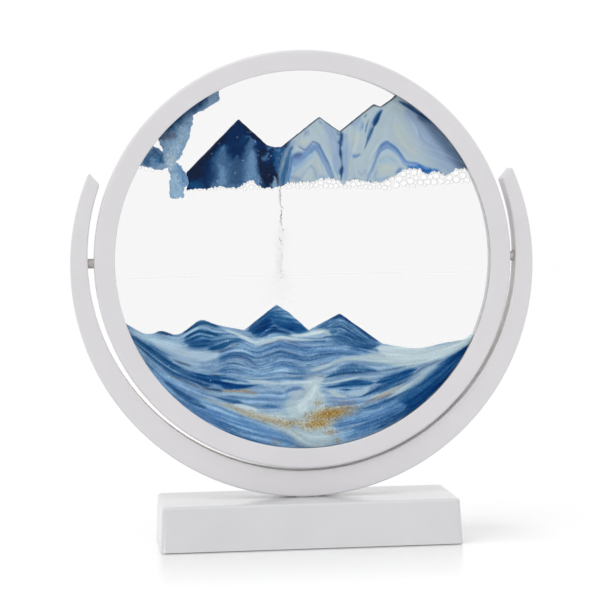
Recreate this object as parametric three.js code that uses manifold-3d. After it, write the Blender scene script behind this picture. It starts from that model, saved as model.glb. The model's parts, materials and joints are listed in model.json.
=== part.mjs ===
// A moving sand art frame. Two panes hold coloured sand, clear liquid and bubbles between them. The round
// frame that clamps the panes turns over on two pins in a curved cradle, which stands on a block base.
// Millimetres, +Z up, front towards -Y. The origin is on the floor, under the middle of the base.

import * as THREE from 'three';
import { mergeVertices } from 'three/addons/utils/BufferGeometryUtils.js';
import Module from 'manifold-3d';

const wasm = await Module();
wasm.setup();

// Fits between pieces
const FIT = 0.3;
const PIN_PLAY = 0.25;

// Round frame, made of a front and a rear half that meet at the middle of its depth
const RING_RADIUS = 90;
const RIM_WIDTH = 8.8;
const LIP_THICKNESS = 1.6;
const RING_EDGE = 1.2;
const LIP_EDGE = 0.4;
const TONGUE_INSET = 1;
const TONGUE_WIDTH = 1.2;
const TONGUE_HEIGHT = 1.4;

// Panes, and the spacer, seal and plug that close the space between them
const PANE_THICKNESS = 3;
const PANE_REST = 3;
const CAVITY_DEPTH = 5;
const CAVITY_MARGIN = 0.6;
const SPACER_WALL = 1;
const FILL_HOLE_RADIUS = 1.2;

// Pivot pins and bushes
const PIN_RADIUS = 2.1;
const PIN_CHAMFER = 0.4;
const FLANGE_RADIUS = 3.4;
const FLANGE_THICKNESS = 1.6;
const FLANGE_COVER = 1.2;
const BUSH_WALL = 0.9;
const BUSH_LENGTH = 4.8;

// Cradle arc, a crescent that is thicker below than at the pins
const RING_GAP_SIDE = 2.7;
const RING_GAP_BELOW = 2.05;
const ARM_THICKNESS = 7.45;
const ARC_BOTTOM_THICKNESS = 10.35;
const ARC_DEPTH = 10.5;
const ARC_EDGE = 0.8;
const TIP_INNER_ANGLE = THREE.MathUtils.degToRad(21.1);
const TIP_OUTER_ANGLE = THREE.MathUtils.degToRad(23);

// Tenon under the arc, and the two screws that hold it in the base
const TENON_WIDTH = 20;
const TENON_DEPTH = 8;
const TENON_LENGTH = 6.5;
const SOCKET_WALL = 1.8;
const SOCKET_FLOOR = 2;
const ARC_SCREW_SPACING = 10;
const ARC_SCREW_RADIUS = 1.25;
const ARC_SCREW_LENGTH = 7;

// Base, a hollow block that narrows a little upwards
const BASE_WIDTH = 128.1;
const BASE_DEPTH = 49.4;
const BASE_HEIGHT = 19.2;
const BASE_DRAFT = 1;
const BASE_WALL = 2.2;
const BASE_ROOF = 2.4;
const BASE_CORNER = 2.6;
const BASE_EDGE = 1.2;

// Bottom plate, its screws and the feet
const PLATE_THICKNESS = 2.6;
const PLATE_RECESS = 0.6;
const BOSS_RADIUS = 3;
const BOSS_INSET = 8;
const PLATE_SCREW_RADIUS = 1.25;
const PLATE_SCREW_LENGTH = 8;
const SCREW_HEAD_RADIUS = 2.4;
const SCREW_HEAD_HEIGHT = 1.2;
const PILOT_END_SPACE = 1;
const FOOT_RADIUS = 5;
const FOOT_PROUD = 0.4;
const FOOT_RECESS = 0.8;
const FOOT_INSET_X = 22;
const FOOT_INSET_Y = 11;

// Sand and bubbles as photographed, from the middle of the disc. The dunes meet the cavity's wall on the right
// at DUNE_WALL_POINT, and a cavity of another radius scales all of these outlines to keep that point on its
// wall. Points further out only carry an outline beyond the cavity, whose wall then cuts it off.
const DUNE_WALL_POINT = [74.6, -33.5];
const MOUNTAIN_RIDGE = [
  [-49.5, 38.5], [-27, 60.8], [-15, 49.7], [-11.8, 48.6], [-8.5, 48.8], [7.9, 61.4], [16.7, 55],
  [31.8, 66.6], [34.7, 65.4], [40.6, 69.4], [43, 73], [100, 73],
];
const MOUNTAIN_FOOT = [
  [100, 38], [67.6, 37.3], [61.9, 34.8], [58.4, 37], [55.3, 35.5], [51.8, 37.8], [44.8, 38.3], [37.3, 35],
  [35.5, 32.5], [26, 33], [22.5, 34], [18, 32], [16.4, 33.8], [9, 34.3], [3.3, 33], [-5.3, 33], [-9, 32],
  [-17, 32.2], [-49.6, 31.9],
];
const MOUNTAIN_LEFT_FLANK = [[-48.2, 34]];
const DRIFT_OUTLINE = [
  [-35.3, 80], [-35.3, 69.4], [-42.7, 64.5], [-46.6, 62.9], [-46.6, 59], [-49.6, 50.5], [-51.3, 46.3],
  [-54.3, 42.9], [-49.8, 39], [-48.2, 34], [-50.6, 31], [-51.5, 27.5], [-56.6, 27.4], [-57, 32],
  [-56.5, 37.4], [-57.7, 40.2], [-62.4, 39.6], [-69.4, 41.4], [-78, 44], [-67.5, 52.2], [-59.2, 47.5],
  [-63.3, 56.5], [-50, 72],
];
const RAFT_BOTTOM = [
  [-50.8, 30.5], [-5.4, 30.5], [18, 30.2], [37.7, 29.3], [53, 30.6], [65, 31.5], [100, 33],
];
const BUBBLE_PITCH = 3.6;
const BUBBLE_RELIEF = 0.6;
const RAFT_OVERLAP = 1;
const DUNE_LEFT_SLOPE = [
  [-100, -22], [-76.4, -26.5], [-65.6, -30.6], [-61.8, -29.7], [-54.7, -31.7], [-43.6, -25], [-34.6, -28.6],
  [-25.7, -30],
];
const DUNE_PEAKS = [[-11.6, -19.3], [-6.4, -22.8], [2.2, -30.8], [15.9, -23.8]];
const DUNE_RIGHT_SLOPE = [
  [34.2, -37.2], [45.1, -39.2], [52, -39.8], [59.2, -38.6], DUNE_WALL_POINT, [100, -25],
];
const STREAM_TOP = [-9, 32];
const STREAM_FOOT = [-10.4, -20.1];
const STREAM_THICKNESS = 1.2;

// Facets and curve steps
const RING_FACETS = 80;
const PIN_FACETS = 24;
const SCREW_FACETS = 16;
const ARC_STEPS = 34;
const ARC_EDGE_STEPS = 1;
const CORNER_STEPS = 3;
const EDGE_STEPS = 2;
const SPLINE_STEPS = 4;
const BUBBLE_STEPS = 4;

// Places worked out from the sizes above
const apertureRadius = RING_RADIUS - RIM_WIDTH;
const paneRadius = apertureRadius + PANE_REST;
const wallInnerRadius = paneRadius + FIT;
const cavityRadius = apertureRadius + CAVITY_MARGIN;
const spacerRadius = cavityRadius + SPACER_WALL;
const paneInnerFace = CAVITY_DEPTH / 2;
const paneOuterFace = paneInnerFace + PANE_THICKNESS;
const lipInnerFace = paneOuterFace + FIT;
const ringFace = lipInnerFace + LIP_THICKNESS;
const fillDepth = CAVITY_DEPTH - 2 * FIT;
const armInnerX = RING_RADIUS + RING_GAP_SIDE;
const arcInnerDrop = RING_RADIUS + RING_GAP_BELOW;
const armOuterX = armInnerX + ARM_THICKNESS;
const arcOuterDrop = arcInnerDrop + ARC_BOTTOM_THICKNESS;
const bushBore = PIN_RADIUS + PIN_PLAY;
const bushRadius = bushBore + BUSH_WALL;
const bushPocketEnd = armInnerX + BUSH_LENGTH + FIT;
const baseBottom = FOOT_PROUD;
const baseTop = baseBottom + BASE_HEIGHT;
const roofUnderside = baseTop - BASE_ROOF;
const plateBottom = baseBottom + PLATE_RECESS;
const plateTop = plateBottom + PLATE_THICKNESS;
const bossEnd = plateTop + FIT;
const tenonEnd = baseTop - TENON_LENGTH;
const socketFloorTop = tenonEnd - FIT;
const socketEnd = socketFloorTop - SOCKET_FLOOR;
const pivotHeight = baseTop + FIT + arcOuterDrop;
const fillScale = cavityRadius / Math.hypot(...DUNE_WALL_POINT);
const SIDES = { left: -1, right: 1 };
const CORNERS = { front_left: [-1, -1], front_right: [1, -1], rear_left: [-1, 1], rear_right: [1, 1] };

// Materials
const whitePlastic = new THREE.MeshStandardMaterial({ color: 0xd9d9dc, roughness: 0.3 });
const greyPlastic = new THREE.MeshStandardMaterial({ color: 0x8f9094, roughness: 0.6 });
const clearSpacer = new THREE.MeshStandardMaterial({ color: 0xc3cac6, roughness: 0.25 });
const steel = new THREE.MeshStandardMaterial({ color: 0xa59e9e, roughness: 0.35, metalness: 1 });
const bushPlastic = new THREE.MeshStandardMaterial({ color: 0xc9c7c2, roughness: 0.5 });
const rubber = new THREE.MeshStandardMaterial({ color: 0x35363a, roughness: 0.85 });
const silicone = new THREE.MeshStandardMaterial({ color: 0xdadfdd, roughness: 0.5 });
const glass = new THREE.MeshStandardMaterial({ color: 0xf2f7f6, roughness: 0.05, opacity: 0.2 });
glass.transparent = true;
const liquid = new THREE.MeshStandardMaterial({ color: 0xf4f8f9, roughness: 0.05, opacity: 0.1 });
liquid.transparent = true;
const bubbleWhite = new THREE.MeshStandardMaterial({ color: 0xf6f7f8, roughness: 0.2 });
const blueSand = new THREE.MeshStandardMaterial({ color: 0x4b73a6, roughness: 0.9 });
const paleSand = new THREE.MeshStandardMaterial({ color: 0x9db4c4, roughness: 0.9 });
const darkSand = new THREE.MeshStandardMaterial({ color: 0x2a4f82, roughness: 0.9 });

// Solids and meshes

function signedVolume(positions, corners) {
  const a = new THREE.Vector3();
  const b = new THREE.Vector3();
  const c = new THREE.Vector3();
  let sum = 0;
  for (let i = 0; i < corners.length; i += 3) {
    a.fromArray(positions, 3 * corners[i]);
    b.fromArray(positions, 3 * corners[i + 1]);
    c.fromArray(positions, 3 * corners[i + 2]);
    sum += a.dot(b.cross(c));
  }
  return sum / 6;
}

// A closed geometry as a solid, with its faces turned outwards.
function solidOf(geometry) {
  const bare = geometry.index ? geometry.toNonIndexed() : geometry.clone();
  bare.deleteAttribute('normal');
  bare.deleteAttribute('uv');
  const merged = mergeVertices(bare);
  const positions = merged.attributes.position.array;
  const corners = [];
  for (let i = 0; i < merged.index.count; i += 3) {
    const [a, b, c] = [0, 1, 2].map((k) => merged.index.getX(i + k));
    if (a !== b && b !== c && c !== a) {
      corners.push(a, b, c);
    }
  }
  if (signedVolume(positions, corners) < 0) {
    corners.reverse();
  }
  const vertProperties = new Float32Array(positions);
  const triVerts = new Uint32Array(corners);
  return new wasm.Manifold(new wasm.Mesh({ numProp: 3, vertProperties, triVerts }));
}

function geometryOf(solid) {
  const mesh = solid.getMesh();
  const geometry = new THREE.BufferGeometry();
  geometry.setAttribute('position', new THREE.BufferAttribute(new Float32Array(mesh.vertProperties), 3));
  geometry.setIndex(new THREE.BufferAttribute(new Uint32Array(mesh.triVerts), 1));
  geometry.computeVertexNormals();
  return geometry;
}

function named(name, solid, material) {
  const mesh = new THREE.Mesh(geometryOf(solid), material);
  mesh.name = name;
  return mesh;
}

// A profile of [radius, place along the axis] pairs, turned about Y. A ring's profile closes on itself.
function turned(profile, facets) {
  const points = profile.map(([radius, along]) => new THREE.Vector2(radius, along));
  const onAxis = profile[0][0] === 0 && profile.at(-1)[0] === 0;
  if (!onAxis) {
    points.push(points[0].clone());
  }
  return new THREE.LatheGeometry(points, facets);
}

// A turned profile with its axis along +X, or along -X on the left.
function turnedAlongX(profile, facets, side) {
  return turned(profile, facets).rotateZ(-side * Math.PI / 2);
}

// A turned profile with its axis along +Z.
function turnedAlongZ(profile, facets) {
  return turned(profile, facets).rotateX(Math.PI / 2);
}

function rod(radius, from, to) {
  return [[0, from], [radius, from], [radius, to], [0, to]];
}

function tube(inner, outer, from, to) {
  return [[inner, from], [outer, from], [outer, to], [inner, to]];
}

// An outline drawn in X and Z, given a thickness along Y about the middle of the depth.
function upright(points, thickness) {
  const settings = { depth: thickness, bevelEnabled: false };
  const geometry = new THREE.ExtrudeGeometry(new THREE.Shape(points), settings);
  return geometry.translate(0, 0, -thickness / 2).rotateX(Math.PI / 2);
}

function block(width, depth, from, to) {
  return new THREE.BoxGeometry(width, depth, to - from).translate(0, 0, (from + to) / 2);
}

function roundedRectangle(width, depth, corner) {
  const x = width / 2 - corner;
  const y = depth / 2 - corner;
  const shape = new THREE.Shape();
  shape.absarc(x, -y, corner, -Math.PI / 2, 0);
  shape.absarc(x, y, corner, 0, Math.PI / 2);
  shape.absarc(-x, y, corner, Math.PI / 2, Math.PI);
  shape.absarc(-x, -y, corner, Math.PI, 1.5 * Math.PI);
  return shape.getPoints(CORNER_STEPS).slice(0, -1);
}

// A closed solid through outlines of equal count, each at its own height.
function lofted(sections) {
  const count = sections[0].outline.length;
  const positions = sections.flatMap(({ outline, z }) => outline.flatMap((p) => [p.x, p.y, z]));
  const index = [];
  for (let level = 0; level < sections.length - 1; level += 1) {
    for (let i = 0; i < count; i += 1) {
      const a = level * count + i;
      const b = level * count + (i + 1) % count;
      index.push(a, b, b + count, a, b + count, a + count);
    }
  }
  const top = (sections.length - 1) * count;
  for (const [a, b, c] of THREE.ShapeUtils.triangulateShape(sections[0].outline, [])) {
    index.push(c, b, a, top + a, top + b, top + c);
  }
  const geometry = new THREE.BufferGeometry();
  geometry.setAttribute('position', new THREE.Float32BufferAttribute(positions, 3));
  geometry.setIndex(index);
  return geometry;
}

function joined(solids) {
  return solids.reduce((whole, solid) => whole.add(solid));
}

function cutBy(solid, cutters) {
  return cutters.reduce((rest, cutter) => rest.subtract(cutter), solid);
}

// Round frame halves

// Rounded front corner of a section, from the face round to the rim.
function edgeRound(radius, face, round) {
  return Array.from({ length: EDGE_STEPS + 1 }, (_, i) => {
    const turn = (i / EDGE_STEPS) * Math.PI / 2;
    return [radius - round + round * Math.sin(turn), face - round + round * Math.cos(turn)];
  });
}

// Section of a half whose face is at +ringFace, as [radius, depth] pairs. The seam has a tongue or a groove.
function bezelSection(seam) {
  return [
    [apertureRadius, lipInnerFace],
    [apertureRadius, ringFace - LIP_EDGE],
    [apertureRadius + LIP_EDGE, ringFace],
    ...edgeRound(RING_RADIUS, ringFace, RING_EDGE),
    ...seam,
    [wallInnerRadius, FIT / 2],
    [wallInnerRadius, lipInnerFace],
  ];
}

const tongueOuter = RING_RADIUS - TONGUE_INSET;
const tongueInner = tongueOuter - TONGUE_WIDTH;
const tongueSeam = [
  [RING_RADIUS, FIT / 2], [tongueOuter, FIT / 2], [tongueOuter, FIT / 2 - TONGUE_HEIGHT],
  [tongueInner, FIT / 2 - TONGUE_HEIGHT], [tongueInner, FIT / 2],
];
const grooveSeam = [
  [RING_RADIUS, FIT / 2], [tongueOuter + FIT, FIT / 2], [tongueOuter + FIT, FIT / 2 + TONGUE_HEIGHT],
  [tongueInner - FIT, FIT / 2 + TONGUE_HEIGHT], [tongueInner - FIT, FIT / 2],
];

const flangeStart = wallInnerRadius + FLANGE_COVER;
const flangeEnd = flangeStart + FLANGE_THICKNESS;

// The room that a pin takes in the wall of the frame: a pocket for its flange and a hole for its shaft.
function pinRoom(side) {
  const outside = RING_RADIUS + RING_GAP_SIDE;
  const pocket = [
    [0, flangeStart - FIT], [FLANGE_RADIUS + FIT, flangeStart - FIT], [FLANGE_RADIUS + FIT, flangeEnd + FIT],
    [PIN_RADIUS + FIT, flangeEnd + FIT], [PIN_RADIUS + FIT, outside], [0, outside],
  ];
  return solidOf(turnedAlongX(pocket, PIN_FACETS, side));
}

function bezelHalf(seam, facing) {
  const section = bezelSection(seam).map(([radius, depth]) => [radius, facing * depth]);
  const ring = solidOf(turned(section, RING_FACETS));
  return cutBy(ring, Object.values(SIDES).map(pinRoom));
}

// Panes and what closes the space between them

function pane(facing) {
  return solidOf(turned(rod(paneRadius, facing * paneInnerFace, facing * paneOuterFace), RING_FACETS));
}

function fillHole(clearance) {
  const reach = [cavityRadius - clearance, paneRadius + clearance];
  return solidOf(turnedAlongZ(rod(FILL_HOLE_RADIUS + clearance, ...reach), SCREW_FACETS));
}

function spacerBand(inner, outer) {
  const band = solidOf(turned(tube(inner, outer, -fillDepth / 2, fillDepth / 2), RING_FACETS));
  return band.subtract(fillHole(FIT));
}

// Pivot

function pivotPin(side) {
  const end = bushPocketEnd - FIT;
  const profile = [
    [0, flangeStart], [FLANGE_RADIUS, flangeStart], [FLANGE_RADIUS, flangeEnd], [PIN_RADIUS, flangeEnd],
    [PIN_RADIUS, end - PIN_CHAMFER], [PIN_RADIUS - PIN_CHAMFER, end], [0, end],
  ];
  return solidOf(turnedAlongX(profile, PIN_FACETS, side));
}

function pivotBush(side) {
  const profile = tube(bushBore, bushRadius, armInnerX, armInnerX + BUSH_LENGTH);
  return solidOf(turnedAlongX(profile, PIN_FACETS, side));
}

// Cradle arc

// The circle that passes a given distance from the pivot at each side and straight below it.
function crescentCircle(aside, below) {
  const above = aside ** 2 / below;
  return { radius: (above + below) / 2, lift: (above - below) / 2 };
}

// Where a ray from the pivot meets such a circle, as an angle about the circle's own middle.
function angleOnCircle(circle, angle) {
  const { radius, lift } = circle;
  const reach = lift * Math.sin(angle) + Math.sqrt(radius ** 2 - (lift * Math.cos(angle)) ** 2);
  return Math.atan2(reach * Math.sin(angle) - lift, reach * Math.cos(angle));
}

function crescent() {
  const outer = crescentCircle(armOuterX, arcOuterDrop);
  const inner = crescentCircle(armInnerX, arcInnerDrop);
  const outerTip = angleOnCircle(outer, TIP_OUTER_ANGLE);
  const innerTip = angleOnCircle(inner, TIP_INNER_ANGLE);
  const shape = new THREE.Shape();
  shape.absarc(0, outer.lift, outer.radius, outerTip, -Math.PI - outerTip, true);
  shape.absarc(0, inner.lift, inner.radius, -Math.PI - innerTip, innerTip, false);
  const geometry = new THREE.ExtrudeGeometry(shape, {
    depth: ARC_DEPTH - 2 * ARC_EDGE,
    bevelThickness: ARC_EDGE,
    bevelSize: ARC_EDGE,
    bevelOffset: -ARC_EDGE,
    bevelSegments: ARC_EDGE_STEPS,
    curveSegments: ARC_STEPS,
  });
  return geometry.translate(0, 0, ARC_EDGE - ARC_DEPTH / 2).rotateX(Math.PI / 2).translate(0, 0, pivotHeight);
}

const arcScrewPlaces = Object.fromEntries(
  Object.entries(SIDES).map(([name, side]) => [name, side * ARC_SCREW_SPACING / 2]),
);
const arcScrewHeadTop = socketEnd - FIT;
const arcScrewEnd = arcScrewHeadTop + ARC_SCREW_LENGTH;

// A straight hole along Z that a screw's shank passes through or ends in.
function screwHole(radius, x, y, from, to) {
  return solidOf(turnedAlongZ(rod(radius + FIT, from, to), SCREW_FACETS).translate(x, y, 0));
}

function cradleArc() {
  const tenonRoot = baseTop + FIT + ARC_BOTTOM_THICKNESS / 2;
  const tenon = solidOf(block(TENON_WIDTH, TENON_DEPTH, tenonEnd, tenonRoot));
  const pocket = rod(bushRadius + FIT, RING_RADIUS, bushPocketEnd);
  const pockets = Object.values(SIDES).map((side) => (
    solidOf(turnedAlongX(pocket, PIN_FACETS, side).translate(0, 0, pivotHeight))
  ));
  const pilots = Object.values(arcScrewPlaces).map((x) => (
    screwHole(ARC_SCREW_RADIUS, x, 0, socketFloorTop, arcScrewEnd + PILOT_END_SPACE)
  ));
  return cutBy(solidOf(crescent()).add(tenon), [...pockets, ...pilots]);
}

// A screw along +Z with its head below, as a turned profile.
function screwProfile(radius, headBottom, end) {
  const headTop = headBottom + SCREW_HEAD_HEIGHT;
  return [
    [0, headBottom], [SCREW_HEAD_RADIUS, headBottom], [SCREW_HEAD_RADIUS, headTop], [radius, headTop],
    [radius, end], [0, end],
  ];
}

function arcScrew(x) {
  const profile = screwProfile(ARC_SCREW_RADIUS, arcScrewHeadTop - SCREW_HEAD_HEIGHT, arcScrewEnd);
  return solidOf(turnedAlongZ(profile, SCREW_FACETS).translate(x, 0, 0));
}

// Base

// Outline of the block at a height, drawn in by an inset from its outer face.
function baseOutline(z, inset) {
  const drawnIn = BASE_DRAFT * (z - baseBottom) / BASE_HEIGHT + inset;
  const corner = Math.max(BASE_CORNER - inset, FIT);
  return roundedRectangle(BASE_WIDTH - 2 * drawnIn, BASE_DEPTH - 2 * drawnIn, corner);
}

function baseSection(z, inset) {
  return { z, outline: baseOutline(z, inset) };
}

function baseBlock() {
  const edge = edgeRound(0, baseTop, BASE_EDGE).reverse().map(([inset, z]) => baseSection(z, -inset));
  return solidOf(lofted([baseSection(baseBottom, 0), ...edge]));
}

const cornerScrewPlaces = Object.fromEntries(
  Object.entries(CORNERS).map(([name, [sideX, sideY]]) => (
    [name, [sideX * (BASE_WIDTH / 2 - BOSS_INSET), sideY * (BASE_DEPTH / 2 - BOSS_INSET)]]
  )),
);
const footPlaces = Object.fromEntries(
  Object.entries(CORNERS).map(([name, [sideX, sideY]]) => (
    [name, [sideX * (BASE_WIDTH / 2 - FOOT_INSET_X), sideY * (BASE_DEPTH / 2 - FOOT_INSET_Y)]]
  )),
);
const plateScrewEnd = plateBottom + PLATE_SCREW_LENGTH;

function boss([x, y]) {
  const post = rod(BOSS_RADIUS, bossEnd, baseTop - BASE_ROOF / 2);
  return solidOf(turnedAlongZ(post, SCREW_FACETS).translate(x, y, 0));
}

function baseShell() {
  const mouth = baseSection(baseBottom - FIT, BASE_WALL);
  const hollow = solidOf(lofted([mouth, baseSection(roofUnderside, BASE_WALL)]));
  const roomWidth = TENON_WIDTH + 2 * FIT;
  const roomDepth = TENON_DEPTH + 2 * FIT;
  const socketWidth = roomWidth + 2 * SOCKET_WALL;
  const socketDepth = roomDepth + 2 * SOCKET_WALL;
  const socket = solidOf(block(socketWidth, socketDepth, socketEnd, baseTop - BASE_ROOF / 2));
  const tenonRoom = solidOf(block(roomWidth, roomDepth, socketFloorTop, baseTop + FIT));
  const bosses = Object.values(cornerScrewPlaces).map(boss);
  const pilots = Object.values(cornerScrewPlaces).map(([x, y]) => (
    screwHole(PLATE_SCREW_RADIUS, x, y, plateTop, plateScrewEnd + PILOT_END_SPACE)
  ));
  const floorHoles = Object.values(arcScrewPlaces).map((x) => (
    screwHole(ARC_SCREW_RADIUS, x, 0, socketEnd - FIT, socketFloorTop + FIT)
  ));
  const shell = joined([baseBlock().subtract(hollow), socket, ...bosses]);
  return cutBy(shell, [tenonRoom, ...pilots, ...floorHoles]);
}

function bottomPlate() {
  const inset = BASE_WALL + FIT;
  const sheet = solidOf(lofted([baseSection(plateBottom, inset), baseSection(plateTop, inset)]));
  const screwRooms = Object.values(cornerScrewPlaces).map(([x, y]) => {
    const room = [
      [0, plateBottom - FIT], [SCREW_HEAD_RADIUS + FIT, plateBottom - FIT],
      [SCREW_HEAD_RADIUS + FIT, plateBottom + SCREW_HEAD_HEIGHT + FIT],
      [PLATE_SCREW_RADIUS + FIT, plateBottom + SCREW_HEAD_HEIGHT + FIT],
      [PLATE_SCREW_RADIUS + FIT, plateTop + FIT], [0, plateTop + FIT],
    ];
    return solidOf(turnedAlongZ(room, SCREW_FACETS).translate(x, y, 0));
  });
  const footRooms = Object.values(footPlaces).map(([x, y]) => (
    solidOf(turnedAlongZ(rod(FOOT_RADIUS + FIT, plateBottom - FIT, plateBottom + FOOT_RECESS), PIN_FACETS)
      .translate(x, y, 0))
  ));
  return cutBy(sheet, [...screwRooms, ...footRooms]);
}

function plateScrew([x, y]) {
  const profile = screwProfile(PLATE_SCREW_RADIUS, plateBottom, plateScrewEnd);
  return solidOf(turnedAlongZ(profile, SCREW_FACETS).translate(x, y, 0));
}

function foot([x, y]) {
  const pad = rod(FOOT_RADIUS, 0, plateBottom + FOOT_RECESS - FIT);
  return solidOf(turnedAlongZ(pad, PIN_FACETS).translate(x, y, 0));
}

// Sand, bubbles and liquid between the panes

function outlineOf(points) {
  return points.map(([x, z]) => new THREE.Vector2(x, z).multiplyScalar(fillScale));
}

function smoothed(points) {
  return new THREE.SplineCurve(outlineOf(points)).getPoints(SPLINE_STEPS * points.length);
}

// An outline with every side moved outwards by a gap.
function grown(outline, gap) {
  const turn = THREE.ShapeUtils.isClockWise(outline) ? -1 : 1;
  const normals = outline.map((point, i) => {
    const side = outline[(i + 1) % outline.length].clone().sub(point).normalize();
    return new THREE.Vector2(turn * side.y, -turn * side.x);
  });
  return outline.map((point, i) => {
    const before = normals.at(i - 1);
    const share = gap / (1 + before.dot(normals[i]));
    return point.clone().add(before.clone().add(normals[i]).multiplyScalar(share));
  });
}

const cavityRoom = solidOf(turned(rod(cavityRadius - FIT, -fillDepth / 2, fillDepth / 2), RING_FACETS));

function filling(outline) {
  return solidOf(upright(outline, fillDepth)).intersect(cavityRoom);
}

// A cutter that leaves the gap between one filling and the next.
function clearOf(outline) {
  return solidOf(upright(grown(outline, FIT), CAVITY_DEPTH));
}

const mountainOutline = outlineOf([...MOUNTAIN_RIDGE, ...MOUNTAIN_FOOT, ...MOUNTAIN_LEFT_FLANK]);
const driftOutline = outlineOf(DRIFT_OUTLINE);
const raftTop = outlineOf(MOUNTAIN_FOOT).map((point) => point.setY(point.y + RAFT_OVERLAP));
const raftOutline = [...outlineOf(RAFT_BOTTOM), ...raftTop];

// The dunes' outline closes as far below the middle of the disc as its two ends lie aside of it.
const [duneLeftEnd] = DUNE_LEFT_SLOPE[0];
const [duneRightEnd] = DUNE_RIGHT_SLOPE.at(-1);
const duneOutline = [
  ...smoothed(DUNE_LEFT_SLOPE),
  ...outlineOf(DUNE_PEAKS),
  ...smoothed(DUNE_RIGHT_SLOPE),
  ...outlineOf([[duneRightEnd, -duneRightEnd], [duneLeftEnd, duneLeftEnd]]),
];

// The raft's lower edge is a row of round bubbles, the lowest point of each on the raft's bottom line.
function bubbleEdge() {
  const line = outlineOf(RAFT_BOTTOM);
  const edge = [];
  for (let i = 0; i < line.length - 1; i += 1) {
    const length = line[i].distanceTo(line[i + 1]);
    const count = Math.max(1, Math.round(length / BUBBLE_PITCH)) * BUBBLE_STEPS;
    for (let k = 0; k < count; k += 1) {
      const point = line[i].clone().lerp(line[i + 1], k / count);
      const rise = BUBBLE_RELIEF * (1 - Math.abs(Math.sin(Math.PI * k / BUBBLE_STEPS)));
      edge.push(point.setY(point.y + rise));
    }
  }
  return [...edge, line.at(-1)];
}

function streamOutline() {
  const [top, foot] = outlineOf([STREAM_TOP, STREAM_FOOT]);
  const half = STREAM_THICKNESS / 2;
  return [
    new THREE.Vector2(foot.x - half, foot.y), new THREE.Vector2(foot.x + half, foot.y),
    new THREE.Vector2(top.x + half, top.y), new THREE.Vector2(top.x - half, top.y),
  ];
}

const aroundMountains = clearOf(mountainOutline);
const aroundDrift = clearOf(driftOutline);
const aroundRaft = clearOf(raftOutline);
const aroundDunes = clearOf(duneOutline);
const aroundStream = solidOf(upright(grown(streamOutline(), FIT), STREAM_THICKNESS + 2 * FIT));

function streamSolid() {
  const strand = solidOf(upright(streamOutline(), STREAM_THICKNESS));
  return cutBy(strand, [aroundMountains, aroundDunes]);
}

function raftSolid() {
  const foam = filling([...bubbleEdge(), ...raftTop]);
  return cutBy(foam, [aroundMountains, aroundDrift, aroundStream]);
}

// What is left of the cavity is liquid, in one pool below the bubbles and one above the mountains.
function liquidPools() {
  const rest = cutBy(cavityRoom, [aroundMountains, aroundDrift, aroundRaft, aroundDunes, aroundStream]);
  const pools = rest.decompose().sort((a, b) => b.volume() - a.volume());
  return { liquid_below: pools[0], liquid_above: pools[1] };
}

// Assembly

function standGroup() {
  const group = new THREE.Group();
  group.add(named('base_shell', baseShell(), whitePlastic));
  group.add(named('base_bottom_plate', bottomPlate(), greyPlastic));
  for (const name of Object.keys(CORNERS)) {
    group.add(named(`base_screw_${name}`, plateScrew(cornerScrewPlaces[name]), steel));
    group.add(named(`foot_${name}`, foot(footPlaces[name]), rubber));
  }
  group.add(named('cradle_arc', cradleArc(), whitePlastic));
  for (const [name, side] of Object.entries(SIDES)) {
    group.add(named(`arc_screw_${name}`, arcScrew(arcScrewPlaces[name]), steel));
    const bush = named(`pivot_bush_${name}`, pivotBush(side), bushPlastic);
    bush.position.z = pivotHeight;
    group.add(bush);
  }
  return group;
}

function discGroup() {
  const group = new THREE.Group();
  group.position.z = pivotHeight;
  group.add(named('front_bezel', bezelHalf(grooveSeam, -1), whitePlastic));
  group.add(named('rear_bezel', bezelHalf(tongueSeam, 1), whitePlastic));
  group.add(named('front_glass', pane(-1), glass));
  group.add(named('rear_glass', pane(1), glass));
  group.add(named('spacer_ring', spacerBand(cavityRadius, spacerRadius), clearSpacer));
  group.add(named('edge_seal', spacerBand(spacerRadius + FIT, paneRadius), silicone));
  group.add(named('fill_plug', fillHole(0), silicone));
  for (const [name, side] of Object.entries(SIDES)) {
    group.add(named(`pivot_pin_${name}`, pivotPin(side), steel));
  }
  group.add(named('upper_sand', filling(mountainOutline), darkSand));
  group.add(named('sand_drift', filling(driftOutline).subtract(aroundMountains), paleSand));
  group.add(named('falling_sand', streamSolid(), darkSand));
  group.add(named('lower_sand', filling(duneOutline), blueSand));
  group.add(named('bubble_raft', raftSolid(), bubbleWhite));
  for (const [name, pool] of Object.entries(liquidPools())) {
    group.add(named(name, pool, liquid));
  }
  return group;
}

const sandFrame = new THREE.Group();
sandFrame.add(standGroup());
sandFrame.add(discGroup());

export default sandFrame;
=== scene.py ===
"""Looks of the moving sand art frame: a white round frame that turns in a crescent cradle on a block base.

The sand between the panes is painted from bands, each a soft ribbon with its own width and colour. Most of
their points were read on enlarged views of the photograph and turned into millimetres outside this script.
Sizes are in millimetres until a mesh is made, and the sand is drawn from the middle of the disc.
"""

import json
import math

import bmesh
import bpy
import numpy as np
from mathutils import Matrix, Vector
from mathutils.geometry import delaunay_2d_cdt


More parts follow.
